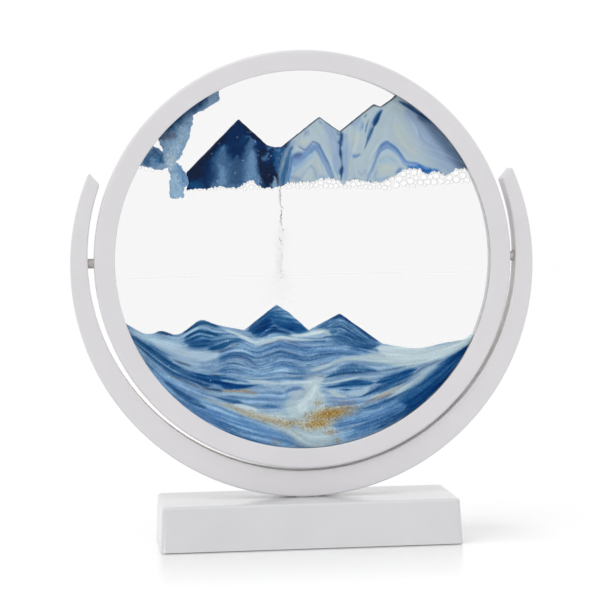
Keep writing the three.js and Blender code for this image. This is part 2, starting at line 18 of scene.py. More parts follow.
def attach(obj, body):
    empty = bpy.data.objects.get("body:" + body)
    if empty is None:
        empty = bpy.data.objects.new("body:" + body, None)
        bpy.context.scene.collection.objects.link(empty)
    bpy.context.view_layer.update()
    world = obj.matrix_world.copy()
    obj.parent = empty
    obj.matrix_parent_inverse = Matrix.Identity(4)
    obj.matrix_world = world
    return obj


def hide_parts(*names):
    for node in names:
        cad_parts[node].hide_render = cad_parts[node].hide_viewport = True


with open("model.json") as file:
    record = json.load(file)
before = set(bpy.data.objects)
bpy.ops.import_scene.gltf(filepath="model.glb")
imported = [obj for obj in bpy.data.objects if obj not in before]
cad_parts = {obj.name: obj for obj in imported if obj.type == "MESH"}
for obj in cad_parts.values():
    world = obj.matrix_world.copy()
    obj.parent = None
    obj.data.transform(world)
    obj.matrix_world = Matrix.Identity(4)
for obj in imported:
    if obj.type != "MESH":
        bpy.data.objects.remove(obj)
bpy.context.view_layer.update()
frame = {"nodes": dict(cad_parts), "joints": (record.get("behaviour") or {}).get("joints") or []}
nodes = frame["nodes"]
pivot = Vector(frame["joints"][0]["pos_m"])

MM = 0.001

# Camera
IMAGE_PIXELS = 605
SENSOR_WIDTH = 36
FOCAL_PIXELS = 2199.6
CAMERA_YAW = math.radians(6.330)
CAMERA_PITCH = math.radians(2.932)
CAMERA_ROLL = math.radians(-0.888)
CAMERA_DISTANCE = 952.5
CAMERA_TARGET = Vector((-0.433, 0, 103.749))

# Light and floor
SKY_FILL = 0.9
KEY_STRENGTH = 0.6
KEY_SPREAD = math.radians(30)
KEY_FROM = Vector((-0.3, -0.5, 1))
SHADOW_LAMPS = (
    ("shadow_side", 2.3, math.radians(18), Vector((-0.87, -0.08, 0.38))),
    ("shadow_front", 6, math.radians(44), Vector((-0.82, -0.68, 0.28))),
)
FLOOR_SIZE = 6000
FLOOR_BOUNCE = 0.465
FLOOR_ALBEDO = 0.4
FLOOR_GLOW = 0.29
FLOOR_GLOW_FAR = 0.252
FLOOR_NEAR = 250
FLOOR_FAR = 600
FLOOR_GLOSS = 0.5
FLOOR_GLOSS_END = 85
FLOOR_GLOSS_ROUGHNESS = 0.15
CLEAR_BOUNCES = 32
WHITE = (1, 1, 1, 1)

# Round frame
RING_RADIUS = 90
APERTURE_RADIUS = 81.2
REAR_APERTURE_RADIUS = 82.6
WALL_INNER_RADIUS = 84.5
LIP_INNER_FACE = 5.8
RING_FACE = 7.4
RING_EDGE = 1.2
LIP_EDGE = 0.4
LIP_BACK_EDGE = 0.7
SEAM_HALF_GAP = 0.15
SEAM_EDGE = 0.15
RING_SEGMENTS = 224

# Panes
PANE_RADIUS = 84.2
PANE_INNER_FACE = 2.5
PANE_OUTER_FACE = 5.5
PANE_EDGE = 0.3
PANE_EDGE_STEPS = 2

# Pivot pins
PIN_RADIUS = 2.1
PIN_START = 85.7
PIN_FLANGE_END = 87.3
PIN_END = 97.5
PIN_FLANGE_RADIUS = 3.4
PIN_CHAMFER = 0.4
PIN_FLANGE_EDGE = 0.3
PIN_NECK_EDGE = 0.2
PIN_EDGE_STEPS = 3
PIN_SEGMENTS = 48

# Cradle arc
ARM_INNER = 92.7
ARM_OUTER = 100.14
ARC_INNER_DROP = 91.2
ARC_OUTER_DROP = 102.4
ARC_DEPTH = 10.5
ARC_EDGE = 0.8
ARC_LEAST_EDGE = 0.05
ARC_EDGE_STEPS = 4
TIP_INNER_ANGLE = math.radians(21.1)
TIP_OUTER_ANGLE = math.radians(23)
SLOT_BLEND = 0.3
ARC_STEPS = 200
TIP_STEPS = 5
TENON_WIDTH = 20
TENON_NECK = 10
TENON_SHOULDER = 0.6
TENON_DEPTH = 8
TENON_BELOW = 6.5
TENON_ABOVE = 4
TENON_EDGE = 0.6
TENON_EDGE_STEPS = 3

# Base
BASE_WIDTH = 129.3
BASE_DEPTH = 49.4
BASE_BOTTOM = 0.4
BASE_TOP = 19.6
BASE_DRAFT = 1
BASE_CORNER = 2.6
BASE_LEAST_CORNER = 0.3
BASE_EDGE = 1.2
BASE_FOOT_EDGE = 0.15
BASE_WALL = 2.2
BASE_ROOF = 2.4
BASE_EDGE_STEPS = 6

# Nodes named by where they sit
CORNERS = ("front_left", "front_right", "rear_left", "rear_right")
SIDES = ("left", "right")

# Moulded materials: two tones as sRGB, range of roughness, scale and strength of the grain, and for the white
# plastic a paler slot colour as painted light
# Painted light: the cradle's wall in the slot around the round frame is painted this paler colour, for light
# bouncing between ring and arc
SLOT_PAINTED_LIGHT = (252, 249, 246)
MOULDED = {
    "white_plastic": ((218, 216, 219), (222, 220, 223), (0.3, 0.42), 1500, 0.06, SLOT_PAINTED_LIGHT),
    "base_plastic": ((212, 212, 214), (216, 216, 218), (0.14, 0.22), 1500, 0.03),
    "plate_plastic": ((138, 138, 142), (148, 148, 152), (0.5, 0.65), 1800, 0.2),
    "bush_plastic": ((198, 196, 190), (206, 204, 198), (0.4, 0.55), 1500, 0.08),
    "spacer_plastic": ((198, 198, 199), (208, 208, 209), (0.3, 0.4), 1500, 0.05),
    "silicone": ((212, 217, 215), (222, 226, 224), (0.4, 0.55), 1200, 0.1),
    "rubber": ((46, 47, 51), (58, 59, 63), (0.75, 0.9), 2200, 0.3),
    "stream_dark": ((70, 68, 80), (108, 104, 114), (0.8, 0.95), 2500, 0.2),
    "stream_pale": ((176, 182, 192), (204, 208, 214), (0.8, 0.95), 2500, 0.2),
}
TONE_SCALE = 35
GLOSS_SCALE = 90
GRAIN_DEPTH = 0.1
LOW_DETAIL = 2
HIGH_DETAIL = 4

# Steel, thin film and the grain of the sand
METAL_SHARE = 0.6
METAL_TONES = ((190, 184, 184), (204, 198, 198))
METAL_TONE_SCALE = 250
METAL_GLOSS_SCALE = 400
METAL_ROUGHNESS = (0.32, 0.5)
METAL_GRAIN_SCALE = 3000
METAL_GRAIN = 0.08
METAL_GRAIN_DEPTH = 0.05
FILM_ROUGHNESS = 0.3
FILM_TONE_SCALE = 400
FILM_DARKER = 0.85
SAND_SPECULAR = 0.1
SAND_ROUGHNESS = (0.8, 0.95)
SAND_ROUGHNESS_SCALE = 900
SAND_TONE_SCALE = 1700
SAND_TONE_DETAIL = 3
SAND_TONE_ROUGHNESS = 0.8
SAND_TONE_RANGE = (0.36, 0.64)
SAND_GRAIN_SCALE = 2600
SAND_GRAIN = 0.25
STAR = (196, 220, 244)
STAR_SCALE = 900
STAR_SIZE = 0.17
GOLD_GRAIN = (132, 96, 44)
GOLD_GRAIN_SCALE = 2300
GOLD_GRAIN_SIZE = 0.46

# Sockets of a mix node for colours
MIX_FIRST = 6
MIX_SECOND = 7
MIX_RESULT = 2

# Sand, bubbles and stream
FILL_RADIUS = 81.5
LINE_WIDTH = 0.45
FILL_HALF_DEPTH = 2.3
DRIFT_HALF_DEPTH = 2.1
VALLEY_EDGE = ((31, -10), (36, -9.9), (41, -9.2), (46, -7.5), (50, -5.5))
VALLEY_BLEND = 2.2
SAND_GRID = 0.3
EDGE_STEP = 0.3
CANVAS_CELL = 0.25
FLOW_STRIDE = 6
STREAK_STEP = 0.35
PANE_GAIN = 1.17
TINY = 1e-6
WHOLE_MESH = 0
EDGE_CLEARANCE = 0.6
COARSE_SIZE = 1.5
COARSE_SHARE = 0.65
FINE_SIZE = 0.6
FINE_SHARE = 0.45
MOUNTAIN_RIDGE = (
    (-49.5, 38.5), (-27, 60.8), (-15, 49.7), (-11.8, 48.6), (-8.5, 48.8), (7.9, 61.4), (16.7, 55),
    (31.8, 66.6), (34.7, 65.4), (40.6, 69.4), (43, 73), (100, 73),
)
MOUNTAIN_FOOT = (
    (73, 38), (67.6, 37.6), (62.3, 35), (58.2, 37), (54.4, 35.2), (51.4, 38), (45, 38.4), (42.5, 36.2),
    (39.9, 34.8), (35.5, 32.5), (26, 33), (22.5, 34), (18, 32), (16.4, 33.8), (9, 34.3), (3.3, 33),
    (-5.3, 33), (-9, 31), (-16.9, 30.6), (-19, 32.3), (-22.1, 34), (-25.9, 31.9), (-28, 30.8), (-34.6, 31.8),
    (-38.8, 31.4), (-41, 30.7), (-49.6, 30.7),
)
MOUNTAIN_LEFT_FLANK = ((-49.6, 30.7), (-49, 34), (-49.5, 38.5))
DRIFT_OUTLINE = (
    (-35.3, 80), (-35.3, 69.4), (-42.7, 64.5), (-46.6, 62.9), (-46.6, 59), (-49.6, 50.5), (-51.3, 46.3),
    (-54.3, 42.9), (-50.3, 39), (-48.7, 34), (-50.9, 31), (-51.5, 27.5), (-56.6, 27.4), (-57, 32),
    (-56.5, 37.4), (-57.7, 40.2), (-62.4, 39.6), (-69.4, 41.4), (-78, 44), (-67.5, 52.2), (-59.2, 47.5),
    (-63.3, 56.5), (-50, 72),
)
DUNE_LEFT_SLOPE = (
    (-79.5, -24.6), (-76.5, -26.3), (-69.9, -30.2), (-65.7, -30.7), (-61.4, -29.6), (-55.4, -31.4),
    (-51.2, -29.7), (-46.1, -25.9), (-43.3, -25.3), (-38.7, -27.1), (-32.3, -28.8), (-25.7, -30),
)
DUNE_PEAKS = ((-25.7, -30), (-11.6, -19.3), (-6.4, -22.8), (2.2, -30.8), (15.9, -23.8), (34.2, -37.2))
DUNE_RIGHT_SLOPE = (
    (34.2, -37.2), (41.6, -38.7), (47.4, -39.6), (53.1, -39.5), (61.7, -37.7), (70.4, -36.3), (74, -34.1),
)
DUNE_FLOOR = ((74, -34.1), (100, -46.1), (100, -100), (-100, -100), (-100, -30), (-79.5, -24.6))
RAFT_BOTTOM = (
    (-50.8, 30.1), (-30, 29.9), (-5.4, 30.3), (18, 30.2), (37.7, 29.3), (53, 30.6), (65, 31.5), (100, 33),
)
BUBBLE_SEED = 5
BUBBLE_TRIES = 9000
BUBBLE_RADII = (0.45, 0.8, 1.6)
BUBBLE_SQUEEZE = 0.9
BUBBLE_SEGMENTS = 20
BUBBLE_LARGEST = 0.55
BUBBLE_CLEARANCE = 0.1
BUBBLE_DEPTH = 0.6
BUBBLE_FLAT = 0.7
BUBBLE_SHOULDER = (0.93, 0.6)
BUBBLE_SKIN = 0.1
BUBBLED_STEP = 0.12
LEAST_ROOM = 0.1
RAFT_REACH = (-50.5, 75)
RAFT_OVERLAP = 0.5
RIM_LINE = 0.05
RIM_SIDES = 6
RIMMED_FROM = 0.5
FROST_STEP = 0.5
FROST_RADII = (0.2, 0.5)
FROST_LIFT = 0.55
DRIFT_BUBBLES = ((-66.8, 40.3, 1.1), (-64.2, 39.6, 0.8), (-69.6, 41, 0.9))
STREAM_SEED = 9
STREAM_TOP = (-9.2, 32.5)
STREAM_FOOT = (-10.4, -18.8)
STREAM_BREAK = 14.5
THREAD_SHARE = 0.8
THREAD_SHARE_BELOW = 0.1
THREAD_STEP = 0.22
THREAD_SWAY = 0.5
THREAD_SWAY_LENGTH = 1.6
THREAD_SWAY_SEED = 131
THREAD_SPREAD = 0.28
THREAD_DEPTH = 0.3
THREAD_RADII = (0.08, 0.27)
PLUME_GRAINS = 1300
PLUME_SPREAD = 1.3
PLUME_FOOT_SPREAD = 4
PLUME_PATCH = 1.6
PLUME_PATCH_SEED = 141
PLUME_PATCH_LEVEL = -0.6
PLUME_WIDENS_AT = 0.55
PLUME_DEPTH = 0.5
PLUME_RADII = (0.06, 0.1)
RIDGE_ROUGHNESS = 0.12
FOOT_ROUGHNESS = 0.7
DRIFT_ROUGHNESS = 0.6
DUNE_ROUGHNESS = 0.1
FLANK_ROUGHNESS = 0.3
RIDGE_SEED = 21
FOOT_SEED = 31
FLANK_SEED = 41
DRIFT_SEED = 61
DUNE_LEFT_SEED = 71
DUNE_PEAKS_SEED = 81
DUNE_RIGHT_SEED = 91

# Canvases: two corners, then the share of pale grains and how uneven the sand is
MOUNTAIN_CANVAS = ((-52, 28), (80, 76))
DRIFT_CANVAS = ((-82, 24), (-30, 82))
DUNE_CANVAS = ((-83, -83), (83, -16))
MARBLE_GRAINS = (0, 0.07)
NIGHT_GRAINS = (0.12, 0.35)
DRIFT_GRAINS = (0.15, 0.3)
DUNE_GRAINS = (0.05, 0.38)

# Brushes: softness of a band's edges, strength, and the length over which its ends thin out
SHADE_BRUSH = (0.9, 0.75, 0.8)
MARBLE_BRUSH = (0.35, 0.9, 0.8)
NIGHT_BRUSH = (0.7, 0.85, 0.8)
RIDGE_BRUSH = (0.5, 0.9, 0.8)
DRIFT_BRUSH = (0.8, 0.75, 0.8)
DUNE_BRUSH = (0.45, 0.9, 2.5)
RIDGE_LINE_WIDTH = 0.7
RIDGE_LINE_STEP = 2
RIBBON_STEP = 0.4
RIBBON_TIP = 0.15
RIBBON_EDGE = 0.12

# Stirring: sizes of the noise and how far each pushes
MARBLE_STIR = ((9, 0.3), (3, 0.2))
NIGHT_STIR = ((3, 0.6), (1.2, 0.5), (0.6, 0.35))
DRIFT_STIR = ((5, 0.6), (1.8, 0.6), (0.8, 0.4))
MARBLE_STIR_SEED = 153
NIGHT_STIR_SEED = 53
DRIFT_STIR_SEED = 63

# Drawing out: length of the smear, length of the lines, shift of the edges and contrast of the lines
MARBLE_LINES = (0.5, 5, 0.12, 0.45)
DUNE_LINES = (0.5, 9, 0.16, 1.1)
MARBLE_LINE_SEED = 101
DUNE_LINE_SEED = 121
BROAD_LINES = 2.5
BROAD_SHARE = 0.6
PALE_LINE_GAIN = 1.4
LEAST_DEPTH = 0.3
LEAST_BRIGHTNESS = 0.4
STREAK_LIMIT = 2.5
FLOW_CURVE_STEP = 0.5
FLOW_STEP = 1.2
FLOW_FALLOFF = 1.5
FLOW_LEVEL = (1e-3, 0)
CELLS_FROM_END = 1.001
DUST_REACH = 1.3
GOLD_WASH = 0.85
GOLD_WASH_POWER = 1.7

# Sand colours, as sRGB
INK = (18, 28, 52)
NAVY = (14, 46, 86)
STEEL = (46, 78, 114)
DEEP = (12, 67, 121)
BLUE = (44, 88, 134)
MID = (82, 126, 172)
SOFT = (114, 152, 188)
LIGHT = (148, 178, 200)
PALE = (172, 192, 200)
FOAM = (192, 210, 216)
SLATE = (84, 96, 116)
SAND = (168, 170, 158)
GOLD = (184, 148, 78)
BROWN = (146, 134, 118)
DRIFT_FILL = (124, 154, 184)
DUNE_FILL = (124, 156, 186)
RIDGE_LINE = (45, 55, 75)
AZURE = (78, 120, 172)
STONE = (168, 186, 196)
BEIGE = (177, 188, 186)
FROST = (166, 190, 208)
HAZE = (136, 160, 192)
SMOKE = (124, 148, 178)
STORM = (84, 108, 142)
INDIGO = (108, 141, 184)
PLUM = (84, 110, 154)
SEA = (110, 154, 198)
COBALT = (38, 98, 170)
GULLY = (14, 56, 106)
NIGHT = (8, 38, 78)
DUSK = (16, 68, 114)
MIST = (75, 110, 147)
FOG = (103, 138, 175)
LINE_SHADE = np.array((15, 14, 11))
LINE_FULL_BRIGHTNESS = 110

# Waves that the strata of the lower sand follow: the places along X, and the heights of each wave there
WAVE_PLACES = (-37.8, -32.2, -26.8, -21.3, -15.8, -10.3, -4.8, 0.8, 6.3, 11.8, 17.3, 22.8, 28.3)
WAVES = (
    (-29, -30.5, -32.7, -35.1, -33.3, -32.1, -33.7, -34.7, -35.2, -35.6, -36.3, -37.5, -38.8),
    (-35, -33, -34.5, -37.2, -35.2, -34.1, -35.8, -37, -37, -36.8, -37.3, -38.3, -39.8),
    (-38.9, -37.2, -35.7, -38.8, -37.3, -36.1, -37.6, -38.6, -38.2, -38, -38.3, -39.2, -40.6),
    (-40.7, -38.6, -38, -40.7, -39.4, -37.7, -39.2, -40.5, -40, -39.6, -39.5, -40.2, -41.3),
    (-42.8, -39.9, -40.1, -42.3, -41.2, -39.5, -41, -42.3, -41.8, -41.2, -40.8, -41.2, -42),
    (-43.7, -41.3, -41.7, -44.8, -43.8, -41.6, -42.7, -44.2, -43.6, -42.8, -42.2, -42.2, -42.8),
    (-46, -43.4, -44, -46.9, -46.6, -43.9, -45, -46.5, -45.8, -44.6, -43.5),
    (-47.4, -45.7, -47.2, -48.5, -48.4, -46.7, -47.7, -48.3),
    (-48.6, -48.9, -49.7, -49.9, -49.8, -49.5, -50.1, -50),
    (-49.5, -50.5, -51.6, -52.2, -51.9, -51.5, -51.7, -51.6),
)
WAVE_SHARES = (0.1, 0.3, 0.5, 0.7, 0.9)
WAVE_COLOURS = (MID, BLUE, SOFT, AZURE, FROST, BLUE, SOFT)
WAVE_WIDTH = 0.45
WAVE_COLOUR_SHIFT = 3

# Bands of the sand, each a colour and points of x, z and full width
GROUND_BANDS = (
    # Pale ground in the middle of the floor
    (PALE, ((9, -50.5, 2), (5, -52.5, 5), (1.5, -57, 10), (-1, -62, 13), (1, -68, 15), (4, -74, 16),
        (5, -82, 14))),
    (PALE, ((-45, -59, 1.5), (-36, -62, 2.5), (-27, -65.5, 4), (-18, -68, 6), (-8, -69, 9))),
    # Darker humps in the strata
    (AZURE, ((-17, -47, 0.5), (-14, -45.5, 2), (-10.3, -44.2, 3.4), (-6.5, -45, 3), (-2, -46.5, 1.4))),
    (AZURE, ((-14, -37.5, 0.8), (-9, -36.3, 2.4), (-4, -37.8, 2.6), (3, -39, 2.2), (10, -39, 2.4),
        (18, -39.5, 1))),
)
LOWER_BANDS = (
    # Small cap and the hill beside it
    (STEEL, ((-65.1, -30.4, 0.5), (-62.8, -30, 1.2), (-60.9, -30.3, 1.8), (-59.1, -30.8, 1.4),
        (-56.8, -31.5, 0.6))),
    (BLUE, ((-52.8, -34.2, 2.8), (-48.2, -33.3, 7.3), (-43.6, -32.5, 8.7), (-39, -33.6, 6.9),
        (-34.4, -33.9, 4.1), (-29.8, -33.9, 2.3), (-25.2, -35, 0.7))),
    (DUSK, ((-53.2, -31.6, 0.5), (-50.9, -29.6, 1.2), (-48.1, -27.6, 1.8), (-45.3, -26.3, 2),
        (-42.5, -26.2, 2), (-39.8, -27.2, 1.7), (-36.1, -29, 0.6))),
    (LIGHT, ((-52.3, -32.1, 0.4), (-49, -29.7, 0.6), (-45.8, -28.2, 0.7), (-42.6, -28.3, 0.7),
        (-39.4, -29.8, 0.7), (-34.3, -31, 0.6))),
    (DUSK, ((-52.3, -33.3, 0.6), (-49.5, -31.4, 1.1), (-45.8, -29.5, 1.4), (-42.6, -30.1, 1.3),
        (-38.9, -31.4, 1.2), (-35.7, -31.8, 0.5))),
    (SOFT, ((-51.8, -33.7, 0.3), (-49.1, -32.2, 0.4), (-45.4, -30.7, 0.5), (-42.2, -31.5, 0.5),
        (-38, -32.5, 0.4))),
    (DUSK, ((-51.9, -34.7, 0.7), (-48.6, -33, 1.3), (-44.9, -31.7, 1.4), (-41.7, -32.4, 1.3),
        (-38.1, -33.2, 0.6))),
    (MID, ((-51.4, -35.3, 0.3), (-48.2, -34, 0.4), (-44.5, -33, 0.5), (-40.8, -33.6, 0.4),
        (-37.1, -33.5, 0.3))),
    (DUSK, ((-51, -35.9, 0.6), (-47.3, -34.8, 1.2), (-43.6, -34.1, 1.4), (-39.9, -34.3, 0.9))),
    (MID, ((-50.5, -36.4, 0.3), (-46.4, -35.6, 0.4), (-42.7, -35.1, 0.4), (-39, -34.8, 0.3))),
    (DUSK, ((-49.6, -36.5, 0.5), (-45.5, -36.3, 1.1), (-41.8, -36, 1.2), (-38.1, -35.4, 0.6))),
    (DUSK, ((-42.7, -37.5, 0.6), (-39.5, -37.3, 2), (-36.3, -36.7, 2.6), (-33, -35.2, 1.8),
        (-29.8, -33.9, 1.3), (-26.6, -34.4, 0.6))),
    (SLATE, ((-41.4, -38.8, 0.4), (-37.2, -39.1, 0.6), (-33.5, -37.7, 0.6), (-30.3, -36.2, 0.6),
        (-27.5, -35.5, 0.5))),
    (MID, ((-40.9, -36.7, 0.3), (-37.2, -35.5, 0.4), (-33.5, -34.1, 0.4), (-29.8, -33.1, 0.3))),
    # Pale hollow under the hill
    (LIGHT, ((-75.8, -27.5, 0.9), (-72.8, -29.8, 2.7), (-68.1, -32.2, 4.1), (-62.8, -34, 4.1),
        (-57.4, -35.1, 3.4), (-52.7, -36.3, 2))),
    (FROST, ((-66.8, -33.4, 1.6), (-61.4, -35.4, 3.1), (-56.1, -37.6, 4.1), (-50, -39.8, 4.3),
        (-44.6, -40.8, 3.8), (-39.9, -40.6, 2.7), (-36.1, -39.4, 0.8))),
    (LIGHT, ((-60.2, -40, 0.9), (-54.8, -42.2, 2), (-50.1, -44, 2.4), (-44.7, -45.1, 1.8))),
    (SAND, ((-57.5, -37.5, 0.2), (-53, -39, 0.3), (-49, -40, 0.2))),
    # Darker and paler lines of the strata
    (STORM, ((-34.5, -42, 0.3), (-31.5, -41.5, 0.6), (-27.5, -41.5, 1), (-24.5, -43, 1.1),
        (-22, -44.5, 0.8), (-18, -46, 0.4))),
    (STORM, ((-20.5, -37, 0.3), (-17, -35.9, 1), (-13, -34.4, 1.4), (-9, -34.2, 1.4), (-5, -35.6, 1),
        (-1, -36.8, 0.5))),
    (FOAM, ((-29.5, -50.5, 0.5), (-23.5, -52, 1.1), (-17.5, -52.5, 1.2), (-11, -53, 1.1),
        (-1.5, -53, 1), (4, -53, 0.9), (8, -53.2, 0.5))),
    # Dark bundle that runs down from the ring
    (BLUE, ((-75.5, -30.5, 0.7), (-71.5, -34, 3), (-65.5, -39, 5.1), (-59.5, -44.5, 5.7),
        (-53.5, -47.5, 5.5), (-47, -50.5, 4.5), (-40, -53, 3))),
    (DUSK, ((-75, -30.5, 0.4), (-70, -34.5, 0.7), (-64, -39, 0.9), (-58.5, -43, 0.8),
        (-53.5, -46, 0.4))),
    (DUSK, ((-73, -34.5, 0.4), (-68, -39, 0.7), (-62.5, -43.5, 0.8), (-57.5, -47, 0.7),
        (-51, -50.5, 0.4))),
    (SOFT, ((-74.5, -32, 0.2), (-69.5, -36.5, 0.3), (-64, -41, 0.3), (-58.5, -45.5, 0.3),
        (-53.5, -48, 0.2))),
    (MID, ((-71.5, -36.5, 0.2), (-66.5, -41, 0.3), (-61.5, -45, 0.4), (-56, -48.5, 0.3))),
    (LIGHT, ((-58.5, -42, 0.3), (-54.5, -44, 0.6), (-49.5, -46, 0.8), (-44.5, -47, 0.7),
        (-39.5, -47.5, 0.4))),
    (SLATE, ((-58, -41, 0.3), (-55.5, -42.5, 0.6), (-51.5, -44, 0.6), (-47.5, -45.5, 0.3))),
    (DEEP, ((-48.5, -48, 1), (-41.5, -50.5, 3), (-35.5, -52, 3.9), (-30.5, -53, 3), (-25.5, -54, 1.5),
        (-21.5, -54, 0.4))),
    (NAVY, ((-43.5, -48.5, 0.3), (-39.5, -49, 0.6), (-35, -50, 0.3))),
    (SOFT, ((-36.5, -48.5, 0.4), (-31.5, -50, 0.7), (-27, -51.5, 0.7), (-22.5, -53, 0.4))),
    (NAVY, ((-47.5, -52, 0.4), (-42.5, -54.5, 0.9), (-38, -55.5, 1.1), (-34, -56.5, 0.3))),
    (BROWN, ((-64, -43, 0.2), (-58.5, -48, 0.3), (-53.5, -50.5, 0.4), (-48.5, -53, 0.4),
        (-43.5, -55, 0.4), (-39, -56.5, 0.3))),
    (BROWN, ((-36.5, -56, 0.3), (-32, -56, 0.5), (-27.5, -55.5, 0.5), (-22.5, -56, 0.3))),
    # Paler bands below the bundle
    (SOFT, ((-69.5, -40.5, 0.6), (-64, -45, 1.7), (-58.5, -50, 2.1), (-52.5, -53, 2),
        (-46.5, -56, 1.6), (-41, -58.5, 0.8))),
    (MID, ((-70, -42, 0.4), (-65.5, -46, 0.6), (-60, -51, 0.6), (-54, -54.5, 0.5), (-49.5, -56.5, 0.3))),
    (LIGHT, ((-44.5, -56, 0.4), (-40, -57, 0.9), (-35, -58, 1), (-29.5, -58.5, 0.8), (-24, -59, 0.5))),
    (BLUE, ((-40.5, -58, 0.3), (-35, -59.5, 1.2), (-30.5, -60.5, 1.4), (-27, -61.5, 0.4))),
    (SAND, ((-51.5, -55.5, 0.2), (-47.5, -57.5, 0.4), (-44, -59, 0.6), (-40, -60.5, 0.7),
        (-36, -62, 0.6), (-32, -63.5, 0.6), (-27.5, -66, 0.5))),
    (FOAM, ((-32.5, -62, 0.5), (-28, -62.5, 1.8), (-25, -64, 2.1), (-21, -65, 1.2))),
    # Blue mass along the ring
    (SEA, ((-68, -45, 1.2), (-62.5, -51.5, 6.4), (-54.5, -59.5, 9.4), (-45, -65, 11.5), (-35, -70, 12),
        (-25, -74, 11.5), (-17.5, -76.5, 8.5), (-10, -79, 5), (-6, -80.5, 3))),
    (SOFT, ((-56, -54, 0.5), (-49.5, -58.5, 1), (-44, -61.5, 1.2), (-38, -64, 1.2), (-32, -67, 1.2),
        (-27, -69, 1), (-21, -71, 0.9), (-14.5, -73.5, 0.6))),
    (MID, ((-37, -63, 0.4), (-32.5, -66, 0.9), (-27.5, -68.5, 1), (-22, -70.5, 0.6))),
    (MID, ((-40, -69.5, 1), (-33, -73, 2.4), (-27, -75.5, 2.4), (-19, -78, 1.4), (-11, -80, 0.6))),
    (PALE, ((-21, -68.5, 0.6), (-15, -70.5, 1.6), (-9, -73, 2.4), (-4, -76, 3.4), (-1, -79, 4.5))),
    (BLUE, ((-62, -50, 0.4), (-58.6, -53.1, 1.4), (-53.5, -57.1, 2.6), (-47.5, -60.8, 2.4),
        (-42, -63.4, 0.5))),
    (MID, ((-44, -67, 0.4), (-37, -69.5, 1.5), (-30, -72.5, 1.8), (-23, -75, 1.5), (-16, -77, 0.5))),
    # First peak
    (DEEP, ((-25.1, -30.7, 0.9), (-21.4, -29.4, 6.9), (-17.7, -27.6, 9.2), (-14, -26.3, 10.5),
        (-9.8, -27.3, 9.2), (-5.7, -28.8, 7.3), (-2, -30.3, 4.6), (2.5, -31.5, 1.6))),
    (STEEL, ((-25.8, -30.5, 0.5), (-22.3, -28, 0.6), (-19, -25, 0.6), (-16.2, -22.6, 0.6),
        (-13.9, -20.8, 0.5))),
    (GULLY, ((-23.7, -30.9, 1.4), (-20.5, -29.4, 2.8), (-17.2, -27.4, 3.2), (-15.1, -24.9, 1.8))),
    (SOFT, ((-20.5, -33.2, 0.3), (-18.2, -31.7, 0.5), (-15.4, -29.7, 0.6), (-13.3, -28.2, 0.8),
        (-10.8, -29.4, 0.6), (-7.1, -30.6, 0.6), (-2.5, -31.9, 0.4))),
    (GULLY, ((-21, -33.3, 0.5), (-17.3, -32.4, 1.2), (-14, -30.4, 1.6), (-11.3, -30.4, 1.6),
        (-8, -31.1, 1.2), (-4.3, -32, 0.5))),
    (SOFT, ((-14.6, -24.4, 0.4), (-13.7, -26.3, 0.6), (-13.2, -27.9, 0.7))),
    # Pale band that dips under the first peak
    (FOAM, ((-36, -29.6, 0.5), (-32.2, -30.5, 0.8), (-26.8, -32.7, 1.2), (-21.3, -35.4, 1.5),
        (-15.8, -34.5, 1.7), (-10.3, -33.4, 1.7), (-4.8, -34.2, 1.6), (0.8, -34.7, 1.1), (6, -35.2, 0.4))),
    # Second peak
    (BLUE, ((3.5, -31.5, 0.8), (8.5, -29.5, 4.7), (12, -29.5, 9.4), (16, -30.5, 12.5), (20, -32, 12),
        (24, -34.5, 9.4), (28.5, -36.5, 5.2), (33, -37.5, 1.6))),
    (BLUE, ((11, -26.5, 0.7), (15, -25.5, 2.6), (16.5, -25.5, 3.1), (20, -28, 3.4),
        (24.5, -30.5, 2.9), (28.5, -34, 2), (33, -36.5, 0.7))),
    (LIGHT, ((8, -30.5, 0.2), (12, -28, 0.3), (16, -26.5, 0.3), (20, -29, 0.3), (25.5, -33, 0.3),
        (30, -36.5, 0.2))),
    (LIGHT, ((7.5, -32, 0.2), (12, -29.5, 0.3), (16, -28, 0.3), (20, -31, 0.3), (25.5, -34.5, 0.3),
        (29.5, -37.5, 0.2))),
    (LIGHT, ((7.5, -33, 0.2), (11.5, -31, 0.3), (15.5, -30, 0.3), (19.5, -32.5, 0.3), (24, -36, 0.3))),
    (SOFT, ((9.5, -29.5, 0.2), (12.5, -27.5, 0.3), (16, -25.5, 0.3), (20, -28, 0.3), (26.5, -33, 0.2))),
    (LIGHT, ((9, -34, 0.2), (12, -33, 0.3), (15.5, -31.5, 0.3), (19, -34, 0.3), (22.5, -37, 0.3))),
    (PALE, ((2.5, -31.5, 1), (6.5, -31, 2.4), (9.5, -31.5, 1.9), (12.5, -33.5, 1))),
    # Strata under it
    (BLUE, ((7, -34, 0.4), (11, -33, 1), (16, -33, 1.5), (20, -34, 1.1), (24, -36.5, 0.5))),
    (SOFT, ((16, -40.5, 0.5), (21, -40.5, 1.2), (25, -41.5, 1.2), (30, -42.5, 0.6))),
    (SLATE, ((-6.5, -50, 0.3), (-1.5, -50.5, 0.4), (5, -50.5, 0.4), (9.5, -51, 0.3))),
    # Pale sweep up to the ring
    (PALE, ((1.5, -48.5, 0.8), (5.5, -47.5, 1.5), (9.5, -46, 1.5), (13, -44.5, 1.5), (17, -43.5, 1.7),
        (22, -43, 2.1), (27.5, -43, 3.1), (33.5, -43, 5.2), (41, -42, 6.2), (49, -42.5, 6.2),
        (57, -41.5, 6.2), (64, -39.5, 5.2), (70, -37.5, 3.1), (74, -35.5, 1))),
    (FOAM, ((30.8, -38.5, 1.3), (36.1, -40, 4.6), (42.8, -41.5, 6.6), (50.2, -42.6, 5.9),
        (56.9, -41.8, 5.2), (63.7, -40, 3.9), (69.1, -38.1, 2.6), (73.2, -35.2, 2), (77, -32.2, 2))),
    (PALE, ((33.4, -43.9, 2.6), (40.1, -45.4, 3.3), (46.8, -45.9, 3.3), (52.2, -45.3, 2),
        (57.6, -44.1, 0.9))),
